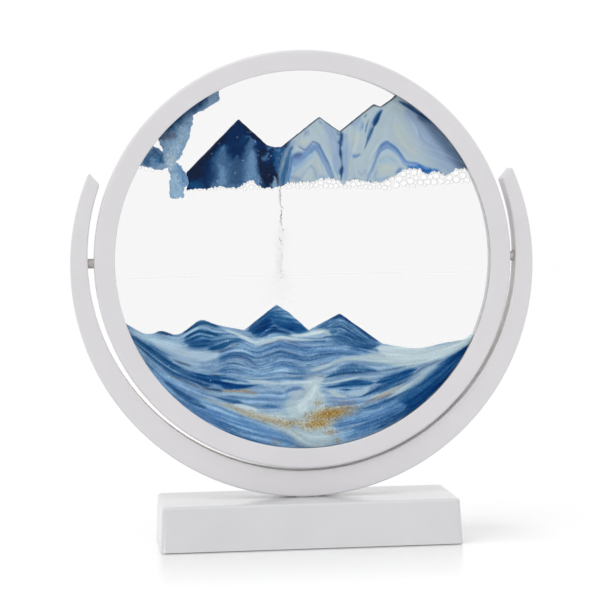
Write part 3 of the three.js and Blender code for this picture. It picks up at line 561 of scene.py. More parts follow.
    (FOAM, ((6.5, -49, 0.3), (11, -48, 0.4), (14.5, -46.5, 0.4), (17.5, -45.5, 0.4), (23.5, -46, 0.3))),
    (BLUE, ((8.5, -51.5, 0.4), (12.5, -50, 2), (16, -48.5, 3.5), (20, -47.5, 4.2), (24, -48, 3.6),
        (28.5, -48.5, 2.1), (33, -49.5, 0.4))),
    (NAVY, ((11.5, -51, 0.3), (16.5, -50, 0.6), (22, -49.5, 0.6), (27, -49.5, 0.3))),
    (SLATE, ((28.5, -49.5, 0.2), (33.5, -49, 0.3), (39, -48.5, 0.3), (44.5, -47, 0.3),
        (49.5, -46.5, 0.2))),
    (SOFT, ((23, -51.5, 0.3), (29.5, -51, 0.5), (35.5, -50, 0.4), (41, -49, 0.3))),
    (FOAM, ((5.5, -53.5, 0.4), (10.5, -53.5, 0.7), (17, -52.5, 0.8), (23, -51.5, 0.7),
        (28.5, -51.5, 0.5), (34.5, -50.5, 0.3))),
    (DEEP, ((30.6, -54.1, 1.3), (36, -52.6, 2.9), (41.3, -51.1, 2.9), (46.1, -49.5, 2),
        (49.4, -48.3, 0.7))),
    (DEEP, ((29.2, -57.7, 1.3), (34.6, -56.2, 2.6), (40, -54.4, 2.6), (44.7, -52.1, 1.6),
        (48.1, -50.2, 0.5))),
    (BLUE, ((22.5, -60.5, 0.5), (27, -59, 1.9), (31.5, -57.5, 2.3), (35.5, -56, 2.1), (41, -54.5, 0.8))),
    # Thin dark, gold and beige lines, and the bright band beside them
    (PALE, ((58.9, -46.5, 0.7), (54.8, -48.7, 1.6), (50.1, -52.6, 2.2), (45.3, -55.8, 2.2),
        (39.9, -58.7, 1.7), (35.2, -60.9, 0.9))),
    (SLATE, ((60.9, -44, 0.3), (55.5, -46.3, 0.5), (50.8, -48.6, 0.6), (46.7, -51.5, 0.6),
        (42.7, -53.8, 0.5), (37.3, -56.1, 0.4))),
    (SAND, ((44, -54.5, 0.5), (38.6, -57.3, 0.9), (33.2, -59.5, 0.9), (27.8, -61, 0.7))),
    (GOLD, ((25.5, -62, 0.2), (29.5, -60.5, 0.3), (34, -59, 0.3), (38.5, -57, 0.2))),
    (SLATE, ((24.5, -63.5, 0.4), (30, -61.5, 1.2), (34.5, -60, 1.2), (39.5, -58, 0.6))),
    # Saturated blue along the ring
    (DEEP, ((73.1, -37.8, 0.7), (69.7, -41.8, 3.9), (65.6, -46, 6.6), (60.8, -51.2, 8.5),
        (55.4, -56.4, 9.8), (49.9, -60.9, 10.5), (44.5, -64.8, 9.8), (39.1, -68, 7.9))),
    (MID, ((11.5, -72, 2.6), (19.5, -71.5, 6.8), (27, -70.5, 9.9), (34.5, -68, 10.4), (40, -66, 7.8),
        (44, -64, 3.1))),
    (MID, ((15.5, -77.5, 2.6), (24.5, -76, 6.8), (32.5, -73, 7.8), (41, -69, 6.2))),
    (SOFT, ((13.5, -70.5, 0.8), (20.5, -68.5, 1.2), (27, -67, 1.2), (33.5, -65, 1), (39.5, -62.5, 0.5))),
    (SOFT, ((15, -73.5, 0.4), (22.5, -72, 0.7), (30.5, -70, 0.5))),
    (SAND, ((15, -75, 0.3), (20.5, -73, 0.4), (25.5, -71.5, 0.3))),
    (BLUE, ((22, -65.5, 0.5), (29, -64, 1.2), (35.5, -62, 1.6), (41, -59.5, 1.2), (47, -56.5, 0.5))),
    (BLUE, ((30, -74.5, 0.7), (35.5, -72, 2.1), (41, -68.5, 2.1), (46.5, -65, 1))),
    # Eddies and the pale river in the middle
    (SOFT, ((-34, -57.6, 3.1), (-26.7, -58.9, 4.6), (-19, -60.1, 6.2), (-12.2, -59.8, 6.2),
        (-7, -58.9, 4.6))),
    (LIGHT, ((-37, -51.1, 0.7), (-30.8, -52.3, 0.9), (-23.5, -53.2, 1.1), (-16.3, -54.2, 1.2),
        (-11.1, -55.6, 1.3), (-9, -57.8, 1.1))),
    (DEEP, ((-37, -53.2, 2.4), (-31.9, -54.1, 2.3), (-26.7, -54.2, 1.7), (-22, -53.7, 0.9),
        (-17.3, -53.9, 0.4))),
    (HAZE, ((-25.1, -54.8, 0.5), (-19.9, -55.7, 0.9), (-14.7, -55.8, 0.9), (-10.6, -56.9, 0.5))),
    (BROWN, ((-37.1, -55.2, 0.8), (-31.9, -55.9, 1.1), (-27.2, -56.2, 1.1), (-23.6, -56.8, 0.9),
        (-19.4, -57.5, 0.5))),
    (PALE, ((-37.1, -57.3, 0.8), (-30.9, -57.6, 0.9), (-24.7, -58.3, 0.8), (-20, -58.5, 0.5))),
    (INDIGO, ((-22.6, -59.2, 0.4), (-17.9, -58.7, 0.7), (-13.2, -59.1, 0.7), (-9.6, -60.4, 0.4))),
    (INDIGO, ((-24.2, -61, 0.4), (-19.5, -60.6, 0.8), (-14.8, -60.7, 0.9), (-10.1, -61.5, 0.5))),
    (LIGHT, ((-23.7, -62.1, 0.4), (-19, -61.8, 0.6), (-14.3, -62.1, 0.6), (-9.6, -62.4, 0.4))),
    (MID, ((-19.5, -63.3, 0.6), (-16.4, -63, 1.8), (-13.8, -63.4, 1.3), (-11.7, -64, 0.4))),
    (INDIGO, ((-19, -65.1, 0.4), (-14.9, -65.2, 0.8), (-11.2, -65, 0.6), (-8.1, -64, 0.3))),
    (BLUE, ((-36.1, -59.7, 0.6), (-32.5, -60.1, 1.3), (-29.4, -60.5, 1.2), (-26.8, -61.1, 0.4))),
    (MID, ((-37.1, -58.2, 0.4), (-32.5, -58.7, 0.5), (-27.8, -59.5, 0.4))),
    (FOAM, ((-32, -62.3, 0.6), (-28.4, -62.6, 1.3), (-24.7, -63.4, 1.5), (-21.6, -64.6, 1.2),
        (-19.6, -65.8, 0.6))),
    (INDIGO, ((-9.1, -59.6, 0.5), (-7.4, -57, 1.3), (-4.8, -55.8, 1.5), (-1.7, -55.8, 1.1),
        (-0.4, -57.2, 1), (-2.3, -59.1, 1.2), (-5.4, -60.2, 1), (-8, -60.5, 0.4))),
    (FROST, ((-8, -58.9, 0.6), (-6.4, -57.6, 0.9), (-4.3, -57.6, 0.8))),
    (FROST, ((-10.1, -57.7, 0.5), (-9, -55.9, 0.7), (-5.8, -54.5, 0.8), (-1.7, -54.3, 0.6))),
    (PALE, ((4.7, -51.9, 3.1), (3.8, -55.5, 6), (1.7, -59.6, 8.5), (-1.3, -63.2, 11.5),
        (-3.9, -66.2, 14), (-4, -68.3, 15))),
    (FOAM, ((4.9, -53, 1.5), (3.6, -56.5, 3), (1.9, -60, 4), (-0.5, -63, 5), (-3, -66, 5.5))),
    (PALE, ((4.6, -57.6, 5.2), (6.1, -60.8, 6.2), (4.5, -63.9, 8.3), (1.3, -66.4, 9.3))),
    (INDIGO, ((-5.9, -61, 0.3), (-3.3, -60.5, 0.5), (-0.7, -59.1, 0.5), (0.9, -57.5, 0.3))),
    (DEEP, ((7.2, -55.2, 0.3), (10.9, -55.3, 0.9), (15.1, -54.8, 1.8), (19.3, -54.3, 2.6),
        (23.5, -54, 2.6), (27.7, -54, 1.8), (30.9, -53.8, 0.6))),
    (DEEP, ((14.5, -56.9, 0.4), (17.2, -56.9, 1), (19.5, -57.1, 0.8), (20.8, -57.5, 0.3))),
    (FROST, ((17.1, -58.4, 0.7), (20.8, -58.5, 1.8), (24, -58.4, 2.3), (26.6, -56.9, 2.1),
        (28.7, -55.1, 0.7))),
    (PALE, ((8.8, -56.9, 1), (11.9, -58, 2.1), (15.5, -59.3, 1.5), (19.2, -60.1, 0.7))),
    (HAZE, ((8.7, -60.8, 0.4), (12.9, -60.7, 0.7), (18.1, -61.1, 0.7), (22.9, -60.7, 0.4))),
    (BROWN, ((8.2, -62, 0.3), (12.9, -61.7, 0.5), (18.1, -62, 0.5), (23.4, -61.7, 0.3))),
    (AZURE, ((9.2, -63.2, 0.4), (13.4, -63, 1), (18.1, -62.7, 1.1), (22.9, -62.3, 0.7),
        (27.1, -61.3, 0.4))),
    (LIGHT, ((9.7, -64.1, 0.4), (13.9, -64.1, 0.6), (19.2, -63.8, 0.6), (23.9, -63.3, 0.4))),
    (SLATE, ((13.9, -64.9, 0.3), (18.6, -64.6, 0.5), (23.4, -64.1, 0.4))),
    (SAND, ((-37.2, -61.3, 0.8), (-32, -63, 1.2), (-26.9, -65.4, 2.1), (-20.1, -67.8, 2.6),
        (-12.4, -70.1, 3.1), (-6.1, -72.4, 3.6))),
    # Pale band at the foot of the first peak
    (FOAM, ((-6.5, -32.5, 1.4), (-2, -32.5, 1.6), (2, -32, 1.9), (6, -31.5, 1.8), (9, -30.5, 0.6))),
)
DRIFT_BANDS = (
    (STEEL, ((-62.6, 52.8, 2), (-58.1, 56.2, 3.5), (-53.5, 60.1, 3.5), (-49.5, 63.5, 3.5),
        (-45, 66.4, 3), (-40.4, 68.9, 2))),
    (NAVY, ((-61.9, 53, 0.8), (-57.6, 57.4, 1.1), (-52.5, 62.1, 1.5), (-47.5, 66, 1.8),
        (-42.4, 68.9, 1.7), (-39.4, 70.3, 0.8))),
    (SLATE, ((-60.6, 53.2, 2), (-57.6, 53.9, 3), (-54.1, 54.6, 1.5))),
    (LIGHT, ((-50.6, 58.1, 2.5), (-51.7, 53.6, 3.5), (-53.7, 49.7, 4), (-55.8, 46.2, 4))),
    (PALE, ((-58.3, 46.8, 1.5), (-56.3, 44.8, 3.5), (-56.9, 41.8, 3), (-57.9, 40.3, 1.5))),
    (MID, ((-53.4, 41.7, 1), (-50.9, 38.7, 2.5), (-50.5, 34.7, 2.5), (-52.1, 31.8, 1.5))),
    (LIGHT, ((-55.5, 38.8, 2), (-54, 34.8, 4), (-54, 29.8, 4.5), (-54.1, 27.3, 3))),
    (BLUE, ((-68.3, 41.9, 2), (-65.2, 44.4, 6.5), (-61.8, 43.8, 5.5), (-60.1, 42.8, 2))),
    (STEEL, ((-64.7, 48.8, 1), (-62.2, 47.1, 1.8), (-60.8, 45.3, 1.8), (-61.3, 42.8, 1.3))),
    (SOFT, ((-65.7, 44.9, 1.5), (-63.8, 42.9, 2.5), (-62.3, 41.4, 1.5))),
    (SMOKE, ((-40.4, 68.9, 1), (-37.9, 69.8, 2.5), (-35.7, 70.8, 2.5))),
)
NIGHT_BANDS = (
    # First mountain
    (DUSK, ((-48.7, 33.5, 2.8), (-45.3, 32.4, 4.2), (-41.8, 31.7, 3.5))),
    (DUSK, ((-24.7, 53.6, 2.8), (-26.1, 51.2, 2.1), (-31, 48.9, 2.1), (-35.6, 47.9, 2.1),
        (-38.8, 43.4, 2.1))),
    (MIST, ((-40, 31, 1), (-35, 33.5, 5), (-31, 35.5, 10), (-25, 35.5, 10), (-18.5, 33, 6))),
    (MIST, ((-33, 26, 11), (-33.3, 30.8, 10.5), (-33.6, 35, 10), (-34, 39.2, 8.5), (-34, 43.4, 7),
        (-33.6, 47.5, 3.5), (-33.3, 50, 1))),
    (MIST, ((-21.7, 26, 10), (-21.9, 30.3, 9.5), (-22.2, 34.8, 8.5), (-22.5, 39, 7.8), (-22.4, 43.2, 7),
        (-22.2, 46.7, 5.5), (-21.8, 49.8, 3.6), (-21.4, 52.5, 1.4))),
    (FOG, ((-34.4, 32.9, 4.2), (-34.7, 37.8, 2.8), (-35, 42, 1.4))),
    (FOG, ((-21.6, 32.1, 5), (-21.5, 38.3, 4.5), (-21.4, 43.9, 3.4), (-21.2, 48, 2))),
    (NIGHT, ((-28.3, 44, 1), (-28.5, 46.4, 3.1), (-28.8, 49.5, 5.2), (-28.2, 53, 5.9),
        (-27.4, 57.1, 3.5))),
    (STEEL, ((-28.2, 33, 6), (-28.2, 38, 5.5), (-28.3, 42, 4), (-28.4, 45, 1.5))),
    (FOG, ((-24.5, 52.7, 0.3), (-22.9, 53.1, 0.6), (-21.5, 52.7, 0.5), (-20.7, 51.4, 0.3))),
    (INK, ((-49.3, 38.7, 1), (-46.5, 40.1, 4.2), (-43.7, 42.8, 4.2), (-40.1, 46.6, 3.1),
        (-36.6, 50.3, 2.4), (-33, 54.1, 2.1))),
    (INK, ((-48.7, 36.3, 2.1), (-45.5, 37.3, 3.8), (-42.7, 39, 3.5))),
    (INK, ((-26, 59.6, 0.7), (-22.5, 56, 1.6), (-19.1, 52.7, 2), (-16.3, 50.2, 1.7))),
    (INK, ((-16.2, 48.7, 2.1), (-17.7, 44.5, 2.1), (-17.2, 39.6, 2.1), (-16.4, 34.1, 2.1))),
    # Valley beside it
    (DUSK, ((-11.9, 46.8, 4.2), (-10.5, 44, 3.5), (-9.9, 39.8, 2.5), (-9.2, 35.5, 1.4))),
    (BLUE, ((-6.5, 48.8, 2), (-8.6, 46.2, 3.6), (-10, 42.8, 3), (-10.6, 39.4, 2), (-10.7, 36, 1))),
    (MID, ((-15.8, 48.7, 1.1), (-13.3, 48.3, 1.4), (-10.8, 47.4, 1.8), (-8.7, 47.9, 1.1))),
    (MIST, ((-16.6, 42.7, 0.7), (-15.6, 44.4, 1.8), (-14.4, 46.9, 1.1))),
    (INK, ((-14.1, 41.9, 2.1), (-14.5, 37, 4.6), (-15.3, 32.1, 4.6))),
    (INK, ((-12, 39.4, 1.1), (-10.7, 34.5, 1.3), (-10, 30.6, 0.9))),
    (LIGHT, ((-12, 36.4, 0.2), (-12, 34.5, 1.4), (-12.1, 31.9, 3), (-12.1, 28, 4.5))),
)
MARBLE_TONES_AND_RING_SHADE = (
    (HAZE, ((10, 58.9, 2.1), (13.2, 54.3, 3.9), (15, 48.6, 4.2), (15.3, 42.2, 3.5), (14.8, 35.9, 2.1))),
    (SMOKE, ((0.8, 53.6, 1.6), (2.3, 54.8, 2.1), (3.4, 55.6, 1.1))),
    (BEIGE, ((-1.8, 52, 1.1), (0.6, 50.6, 1.8), (2.8, 50.2, 1.4))),
    (BEIGE, ((4.8, 43.4, 1.8), (5.8, 41.7, 1.8), (7.6, 38.8, 2.1))),
    (BEIGE, ((2.5, 36.8, 1.8), (3.9, 35.3, 1.4))),
    (SMOKE, ((-5.3, 35.8, 1.4), (-2.5, 35.1, 1.8), (0.3, 32.9, 1.4))),
    (HAZE, ((6.8, 35.3, 1.8), (8.9, 35.6, 1.8), (11.1, 33.8, 1.1))),
    (HAZE, ((-5.5, 48.9, 1.4), (-3.7, 50.4, 1.8), (-2.2, 51.3, 0.7))),
    (HAZE, ((18.4, 54.2, 2.1), (18.9, 48.3, 3), (18.6, 41.5, 2.5), (17.9, 33.9, 1.7))),
    (HAZE, ((21.4, 58, 2.5), (23.6, 58.8, 2.5), (26, 60.9, 1.7))),
    (HAZE, ((24.4, 55.4, 2.1), (26.1, 57.1, 2.1))),
    (BEIGE, ((23.3, 54.2, 1.7), (23.3, 51.6, 2.5), (22.8, 49.1, 1.7), (21.7, 46.6, 0.8))),
    # Painted shade along the ring at the upper right: darker towards the ring's lip
    (HAZE, ((45.1, 64.1, 2.5), (49.4, 59.4, 5.1), (54.5, 53.4, 8.5), (59.1, 47.8, 10.1),
        (63.8, 42.6, 10.1), (68.1, 37.9, 8.5))),
    (STORM, ((46, 66.6, 1.7), (52, 61.9, 2.5), (57.1, 56.7, 3.8), (62.2, 50.7, 4.7), (66.9, 44.3, 4.7),
        (71.1, 37.8, 3.8))),
    (BEIGE, ((41.6, 57.8, 2.5), (43.3, 52.7, 3.4), (46.6, 47.9, 2.5), (50.9, 44.1, 1.7))),
    (BEIGE, ((32.7, 38.4, 2.1), (34.9, 38.3, 3.8), (37, 38.5, 3.8), (39.2, 38.3, 3),
        (40.9, 38.2, 1.7))),
)
MARBLE_BANDS = (
    # Second mountain
    (SMOKE, ((7.5, 60, 0.7), (9.3, 58.2, 1.1))),
    (INDIGO, ((-4.5, 42.5, 3.2), (-3.1, 42.5, 5.3), (-1.3, 43.5, 5.3), (1.2, 44.4, 3.9),
        (3.2, 45.9, 3.5), (5, 48, 3.4), (6.6, 48.4, 3), (8, 46.6, 2.6), (9.4, 43.4, 2.1),
        (11.1, 39.5, 1.8), (12.5, 35.6, 1.4), (13, 33.1, 1.1))),
    (PLUM, ((-3.4, 45.3, 2.1), (-2, 44.6, 2.8), (0.5, 45.3, 2.1))),
    (PLUM, ((-1.5, 49.3, 0.4), (-0.7, 48.6, 0.5), (0.6, 47.6, 0.6), (1.8, 47, 0.7), (3.1, 48.1, 0.6),
        (4.5, 50, 0.6), (5.3, 51.1, 0.6), (6.5, 50.6, 0.6), (7.9, 49.4, 0.6), (8.9, 46.9, 0.5),
        (10.5, 43.9, 0.5), (11.9, 40.9, 0.5), (12.9, 37.3, 0.4), (13.9, 33.8, 0.3))),
    (LIGHT, ((-5.2, 39.7, 1.1), (-4, 38.3, 1.4), (-3.1, 38.6, 1.4), (-1.3, 40.2, 1.3),
        (1.2, 41.7, 1.3), (3, 43.5, 1.4), (4.4, 44.7, 1.3), (5.9, 44.3, 0.7))),
    (LIGHT, ((7.7, 48, 0.4), (9.1, 44.4, 0.4), (10.8, 40.5, 0.4), (12.2, 36.6, 0.3))),
    (FROST, ((8.6, 49, 0.5), (10.4, 45.8, 0.8), (12.4, 41.6, 0.9), (14, 37.3, 0.8), (15.3, 33.4, 0.6))),
    (HAZE, ((13.4, 43.7, 0.5), (14, 39.4, 0.5), (15, 35.5, 0.4))),
    (HAZE, ((2.6, 39.2, 0.4), (4, 40.5, 0.6), (5.4, 39.5, 0.6), (6, 37.4, 0.6), (6.2, 34.2, 0.4))),
    (HAZE, ((-1.2, 34.3, 0.5), (0.1, 36.8, 0.6), (2.2, 38.9, 0.4))),
    (AZURE, ((-6.2, 31, 1.4), (-5.8, 36, 1.6), (-5, 40.5, 1.6), (-3.8, 45, 1.2))),
    (BLUE, ((-8.3, 30.9, 2), (-7.9, 35.5, 2.4), (-7.2, 39.7, 2.6), (-6.1, 43.9, 2.6),
        (-5, 46.8, 2), (-3.7, 49.2, 1.1))),
    (LIGHT, ((-9.1, 30.9, 0.3), (-8.9, 36.2, 0.3), (-8, 41.2, 0.4), (-6.2, 46.1, 0.4),
        (-4.2, 49.9, 0.4), (-2.9, 51.3, 0.4))),
    (LIGHT, ((-7.3, 31.6, 0.3), (-6.5, 36.2, 0.3), (-5.6, 41.1, 0.4), (-4.7, 45, 0.4),
        (-3.9, 47.3, 0.5), (-3, 47.4, 0.4), (-1.9, 46.7, 0.4))),
    (GULLY, ((16.9, 54.9, 1.1), (17.3, 52.8, 1.2), (17.1, 49.6, 1.1), (16.8, 47.9, 0.5),
        (17, 45.8, 1.3), (17.1, 43.6, 0.5), (17.1, 40.8, 0.4), (17.1, 39, 1.1), (16.7, 37.3, 1.6),
        (16.9, 35.5, 0.7), (16.6, 33.4, 0.5))),
    (GULLY, ((15, 55.1, 0.2), (16.7, 53.2, 0.6))),
    (GULLY, ((15.6, 51.3, 0.2), (16.7, 49.5, 0.7))),
    (GULLY, ((15.7, 46.1, 0.2), (16.8, 45, 0.7))),
    # Third mountain
    (FROST, ((18.1, 31.8, 0.3), (19.7, 39, 0.6), (21, 44.9, 0.7), (22.2, 49.1, 0.4))),
    (BEIGE, ((20.3, 38.1, 0.8), (21.2, 41.5, 1.3), (22.1, 42.8, 0.8))),
    (INDIGO, ((21.5, 44.9, 0.8), (23.4, 44.2, 1.5), (25.8, 45, 0.8))),
    (INDIGO, ((18.5, 32.2, 0.3), (20.3, 41.5, 0.3), (21.5, 47, 0.3), (22.6, 50.8, 0.3))),
    (HAZE, ((21.1, 33, 0.4), (22.4, 34.7, 0.7), (24.1, 33.4, 0.4))),
    (HAZE, ((24.2, 38.5, 0.4), (25, 37, 0.7), (26.5, 35.9, 0.5), (27.2, 38, 0.6), (27.8, 35.9, 0.4))),
    (INDIGO, ((26.6, 59.6, 0.5), (26.4, 57.5, 0.8), (26.5, 55.4, 0.5))),
    (GULLY, ((28.8, 62.4, 0.3), (27.9, 61.3, 0.5), (27.4, 60.7, 0.3))),
    (GULLY, ((26.9, 57.3, 0.3), (28.1, 57, 0.3))),
    (FROST, ((27.7, 59.2, 0.5), (27.3, 57.1, 0.6), (27, 55, 0.5), (27.8, 52.8, 0.3))),
    (GULLY, ((29.5, 60, 0.3), (28.4, 57.1, 0.5), (27.8, 54.1, 0.3))),
    (GULLY, ((28.7, 53.3, 0.4), (28.2, 51.1, 0.3))),
    (AZURE, ((35, 64.5, 0.4), (32.9, 62.3, 0.6), (31.1, 59.2, 0.7), (30, 56.6, 0.6),
        (28.9, 54.1, 0.4))),
    (LIGHT, ((34, 63.8, 0.3), (31.8, 60.9, 0.5), (30.4, 57.9, 0.5), (28.7, 54.1, 0.4),
        (28, 51.6, 0.3))),
    (GULLY, ((35.6, 64.3, 0.4), (34.1, 62.1, 1.4), (33, 60.2, 2.1), (32.1, 58.3, 1.9),
        (31.4, 57, 0.8))),
    (BLUE, ((31.5, 57.3, 0.8), (30.4, 54.9, 1.2), (29.2, 52.4, 0.9), (28, 49.5, 0.6),
        (26.9, 46.9, 0.3))),
    (SLATE, ((30.8, 65.5, 0.4), (31.9, 66.3, 1.3), (33.3, 65.4, 0.9))),
    # Painted shadow of the ring's lip: a dark line along the ring and a softer dark patch beside it
    (GULLY, ((42, 67.9, 0.4), (45.4, 66.1, 1.2), (48.5, 64.3, 1.4), (51.4, 62.5, 1.3),
        (54.5, 60.3, 1.1), (57, 58, 0.5))),
    (STORM, ((50.3, 61.5, 1), (53.3, 59.7, 1.5), (55.8, 58.7, 0.8))),
    (FROST, ((46, 61.5, 0.5), (48.5, 58.1, 1), (50.2, 55.1, 1), (51, 52.6, 0.5))),
    (INDIGO, ((27.7, 32.5, 0.7), (28.9, 35.4, 1), (30.4, 38.8, 1.2), (31.7, 41.3, 1.2),
        (33, 44.3, 1.5), (34.4, 46.8, 2.4), (35.9, 48.5, 3.6), (37.2, 49.3, 3.4), (39.1, 48, 3),
        (41, 46.1, 2.4), (42.7, 44, 2.1), (44, 42, 2.2), (45.7, 40.7, 2.1), (48.3, 40.5, 2.1),
        (50.8, 40, 1.7), (54.3, 38.7, 1.7), (58.2, 38, 1.3))),
    (AZURE, ((34.2, 47.7, 0.5), (35.7, 49.1, 0.7), (37.4, 50.6, 0.7), (38.3, 49.3, 0.6),
        (41, 47.4, 0.7), (43.1, 44.6, 0.7), (45.3, 41.8, 0.7), (47.4, 41.3, 0.7), (50, 41, 0.7),
        (52.6, 40, 0.6), (55.1, 38.9, 0.5), (58.2, 38.5, 0.4))),
    (COBALT, ((45.7, 39.9, 0.8), (47.4, 39, 1.3), (49.5, 39.2, 1.4), (51.3, 39.6, 1.7),
        (52.5, 37.9, 2.5), (54.3, 36.8, 3.4), (56, 37.4, 2.5), (57.5, 38.1, 1.2))),
    (COBALT, ((57.5, 38.4, 0.6), (59, 37.6, 1.3), (60.7, 35.6, 1.4), (62.2, 34.3, 1.4))),
    (FROST, ((34.1, 44.7, 0.8), (35.9, 45.9, 1.1), (38.4, 46.1, 1.1), (40.6, 44.5, 0.9),
        (42.3, 42.3, 0.9), (43.5, 40.1, 0.8))),
    (LIGHT, ((33.6, 41.3, 1.1), (36.2, 42.5, 1.5), (38.8, 42.4, 1.5), (40.9, 40.8, 0.8))),
    (HAZE, ((31.8, 34.1, 0.8), (34.4, 34, 1.1), (37, 35.2, 0.9), (38.7, 35.7, 0.5))),
    (INDIGO, ((40.9, 36.1, 1.3), (42.6, 37.8, 1.9), (43.7, 39.1, 1))),
    (HAZE, ((31.4, 32.9, 0.4), (32.1, 36.2, 0.6), (32.7, 38.4, 0.4))),
)

# Gold dusted spots of the lower sand: middle, half sizes, tilt in degrees and how dense the grains lie
GOLD_SPOTS = (
    ((10.5, -67), (12.5, 3.4), 10, 1),
    ((5, -71), (9, 3), 8, 0.9),
    ((-5, -70.5), (9, 2), -4, 0.6),
    ((5.5, -62), (2.6, 1.3), 0, 0.5),
    ((18.5, -66.5), (4.2, 1), 12, 0.6),
    ((10.5, -75), (3.1, 1.6), 0, 0.55),
    ((13.5, -79), (1.8, 1.6), 0, 0.5),
    ((-15, -69), (12.3, 2.2), -12, 0.32),
    ((-22.5, -66.5), (6.9, 1.5), -22, 0.26),
    ((-30, -64), (4.4, 1.2), -25, 0.25),
    ((-5, -72), (5.9, 4.9), 0, 0.22),
    ((-13, -78.5), (3.5, 1.5), 0, 0.4),
)


# Shapes in the plane

def filleted(corners, steps=6):
    """A closed outline of (x, y, radius) corners with each corner rounded by its radius."""
    out = []
    for i, (x, y, radius) in enumerate(corners):
        here = Vector((x, y))
        if radius == 0:
            out.append(here)
            continue
        back = (Vector(corners[i - 1][:2]) - here).normalized()
        ahead = (Vector(corners[(i + 1) % len(corners)][:2]) - here).normalized()
        half = back.angle(ahead) / 2
        middle = here + (back + ahead).normalized() * radius / math.sin(half)
        start = here + back * radius / math.tan(half) - middle
        end = here + ahead * radius / math.tan(half) - middle
        sweep = math.pi - 2 * half
        for k in range(steps + 1):
            share = k / steps
            first = math.sin((1 - share) * sweep) / math.sin(sweep)
            last = math.sin(share * sweep) / math.sin(sweep)
            out.append(middle + start * first + end * last)
    return out


def rounded_rectangle(half_width, half_depth, corner, steps=6):
    signs = ((1, 1), (-1, 1), (-1, -1), (1, -1))
    return filleted([(sx * half_width, sy * half_depth, corner) for sx, sy in signs], steps)


def value_noise(x, z, scale, seed):
    """Smooth noise from -1 to 1 over the plane, with features about as large as the scale."""
    size = 97
    lattice = np.random.default_rng(seed).uniform(-1, 1, (size, size))
    u = np.asarray(x, float) / scale
    v = np.asarray(z, float) / scale
    i = np.floor(u).astype(int)
    k = np.floor(v).astype(int)
    fu = u - i
    fv = v - k
    fu = fu * fu * (3 - 2 * fu)
    fv = fv * fv * (3 - 2 * fv)
    low = lattice[i % size, k % size] * (1 - fu) + lattice[(i + 1) % size, k % size] * fu
    high = lattice[i % size, (k + 1) % size] * (1 - fu) + lattice[(i + 1) % size, (k + 1) % size] * fu
    return low * (1 - fv) + high * fv


def resampled(points, step):
    """Points along a polyline at equal distances."""
    points = np.array(points, float)
    lengths = np.hypot(*np.diff(points[:, :2], axis=0).T)
    along = np.concatenate([[0], np.cumsum(lengths)])
    places = np.linspace(0, along[-1], max(2, int(round(along[-1] / step)) + 1))
    return np.column_stack([np.interp(places, along, column) for column in points.T])


def smooth_path(points, step):
    """A smooth curve through points, whose columns after the first two run along with it."""
    points = np.array(points, float)
    padded = np.vstack([2 * points[0] - points[1], points, 2 * points[-1] - points[-2]])
    parts = []
    for i in range(1, len(padded) - 2):
        p0, p1, p2, p3 = padded[i - 1:i + 3]
        count = max(2, int(np.hypot(*(p2 - p1)[:2]) / step))
        t = np.linspace(0, 1, count, endpoint=False)[:, None]
        bend = 2 * p0 - 5 * p1 + 4 * p2 - p3
        twist = 3 * p1 - p0 - 3 * p2 + p3
        parts.append(p1 + 0.5 * t * (p2 - p0 + t * (bend + t * twist)))
    return np.vstack(parts + [points[-1:]])


def roughened(points, roughness, seed):
    """A line of points pushed aside by noise, so that it looks made of grains."""
    line = resampled(points, EDGE_STEP)
    tangent = np.gradient(line, axis=0)
    tangent /= np.hypot(*tangent.T)[:, None]
    coarse = value_noise(line[:, 0], line[:, 1], COARSE_SIZE, seed)
    fine = value_noise(line[:, 0], line[:, 1], FINE_SIZE, seed + 1)
    push = roughness * (COARSE_SHARE * coarse + FINE_SHARE * fine)
    push[0] = 0
    push[-1] = 0
    return line + np.column_stack([-tangent[:, 1], tangent[:, 0]]) * push[:, None]


def inside_cavity(points):
    """Points beyond the cavity are drawn in to its wall."""
    reach = np.hypot(*points.T)
    return points * np.minimum(1, FILL_RADIUS / np.maximum(reach, TINY))[:, None]


# Meshes and pieces

def shaded(mesh, sharp_angle=35):
    mesh.shade_smooth()
    mesh.set_sharp_from_angle(angle=math.radians(sharp_angle))
    return mesh


def turned(name, profile, segments, place, closed=True):
    """A mesh of (radius, along) points turned about the local Z axis of a place."""
    bm = bmesh.new()
    ring = [bm.verts.new((radius * MM, 0, along * MM)) for radius, along in profile]
    edges = [bm.edges.new(pair) for pair in zip(ring, ring[1:])]
    if closed:
        edges.append(bm.edges.new((ring[-1], ring[0])))
    bmesh.ops.spin(
        bm, geom=ring + edges, cent=(0, 0, 0), axis=(0, 0, 1),
        angle=2 * math.pi, steps=segments, use_merge=True,
    )
    bmesh.ops.remove_doubles(bm, verts=bm.verts, dist=MM * MM)
    bmesh.ops.recalc_face_normals(bm, faces=bm.faces)
    bm.transform(place)
    mesh = bpy.data.meshes.new(name)
    bm.to_mesh(mesh)
    bm.free()
    return shaded(mesh)


def lofted(name, loops):
    """A closed mesh through loops of points of equal count, with a face over the first and the last."""
    count = len(loops[0])
    vertices = [Vector(point) * MM for loop in loops for point in loop]
    faces = [tuple(range(count))]
    for level in range(len(loops) - 1):
        for i in range(count):
            a = level * count + i
            b = level * count + (i + 1) % count
            faces.append((a, b, b + count, a + count))
    top = (len(loops) - 1) * count
    faces.append(tuple(range(top, top + count)))
    mesh = bpy.data.meshes.new(name)
    mesh.from_pydata(vertices, [], faces)
    bm = bmesh.new()
    bm.from_mesh(mesh)
    bmesh.ops.recalc_face_normals(bm, faces=bm.faces)
    bm.to_mesh(mesh)
    bm.free()
    return shaded(mesh)


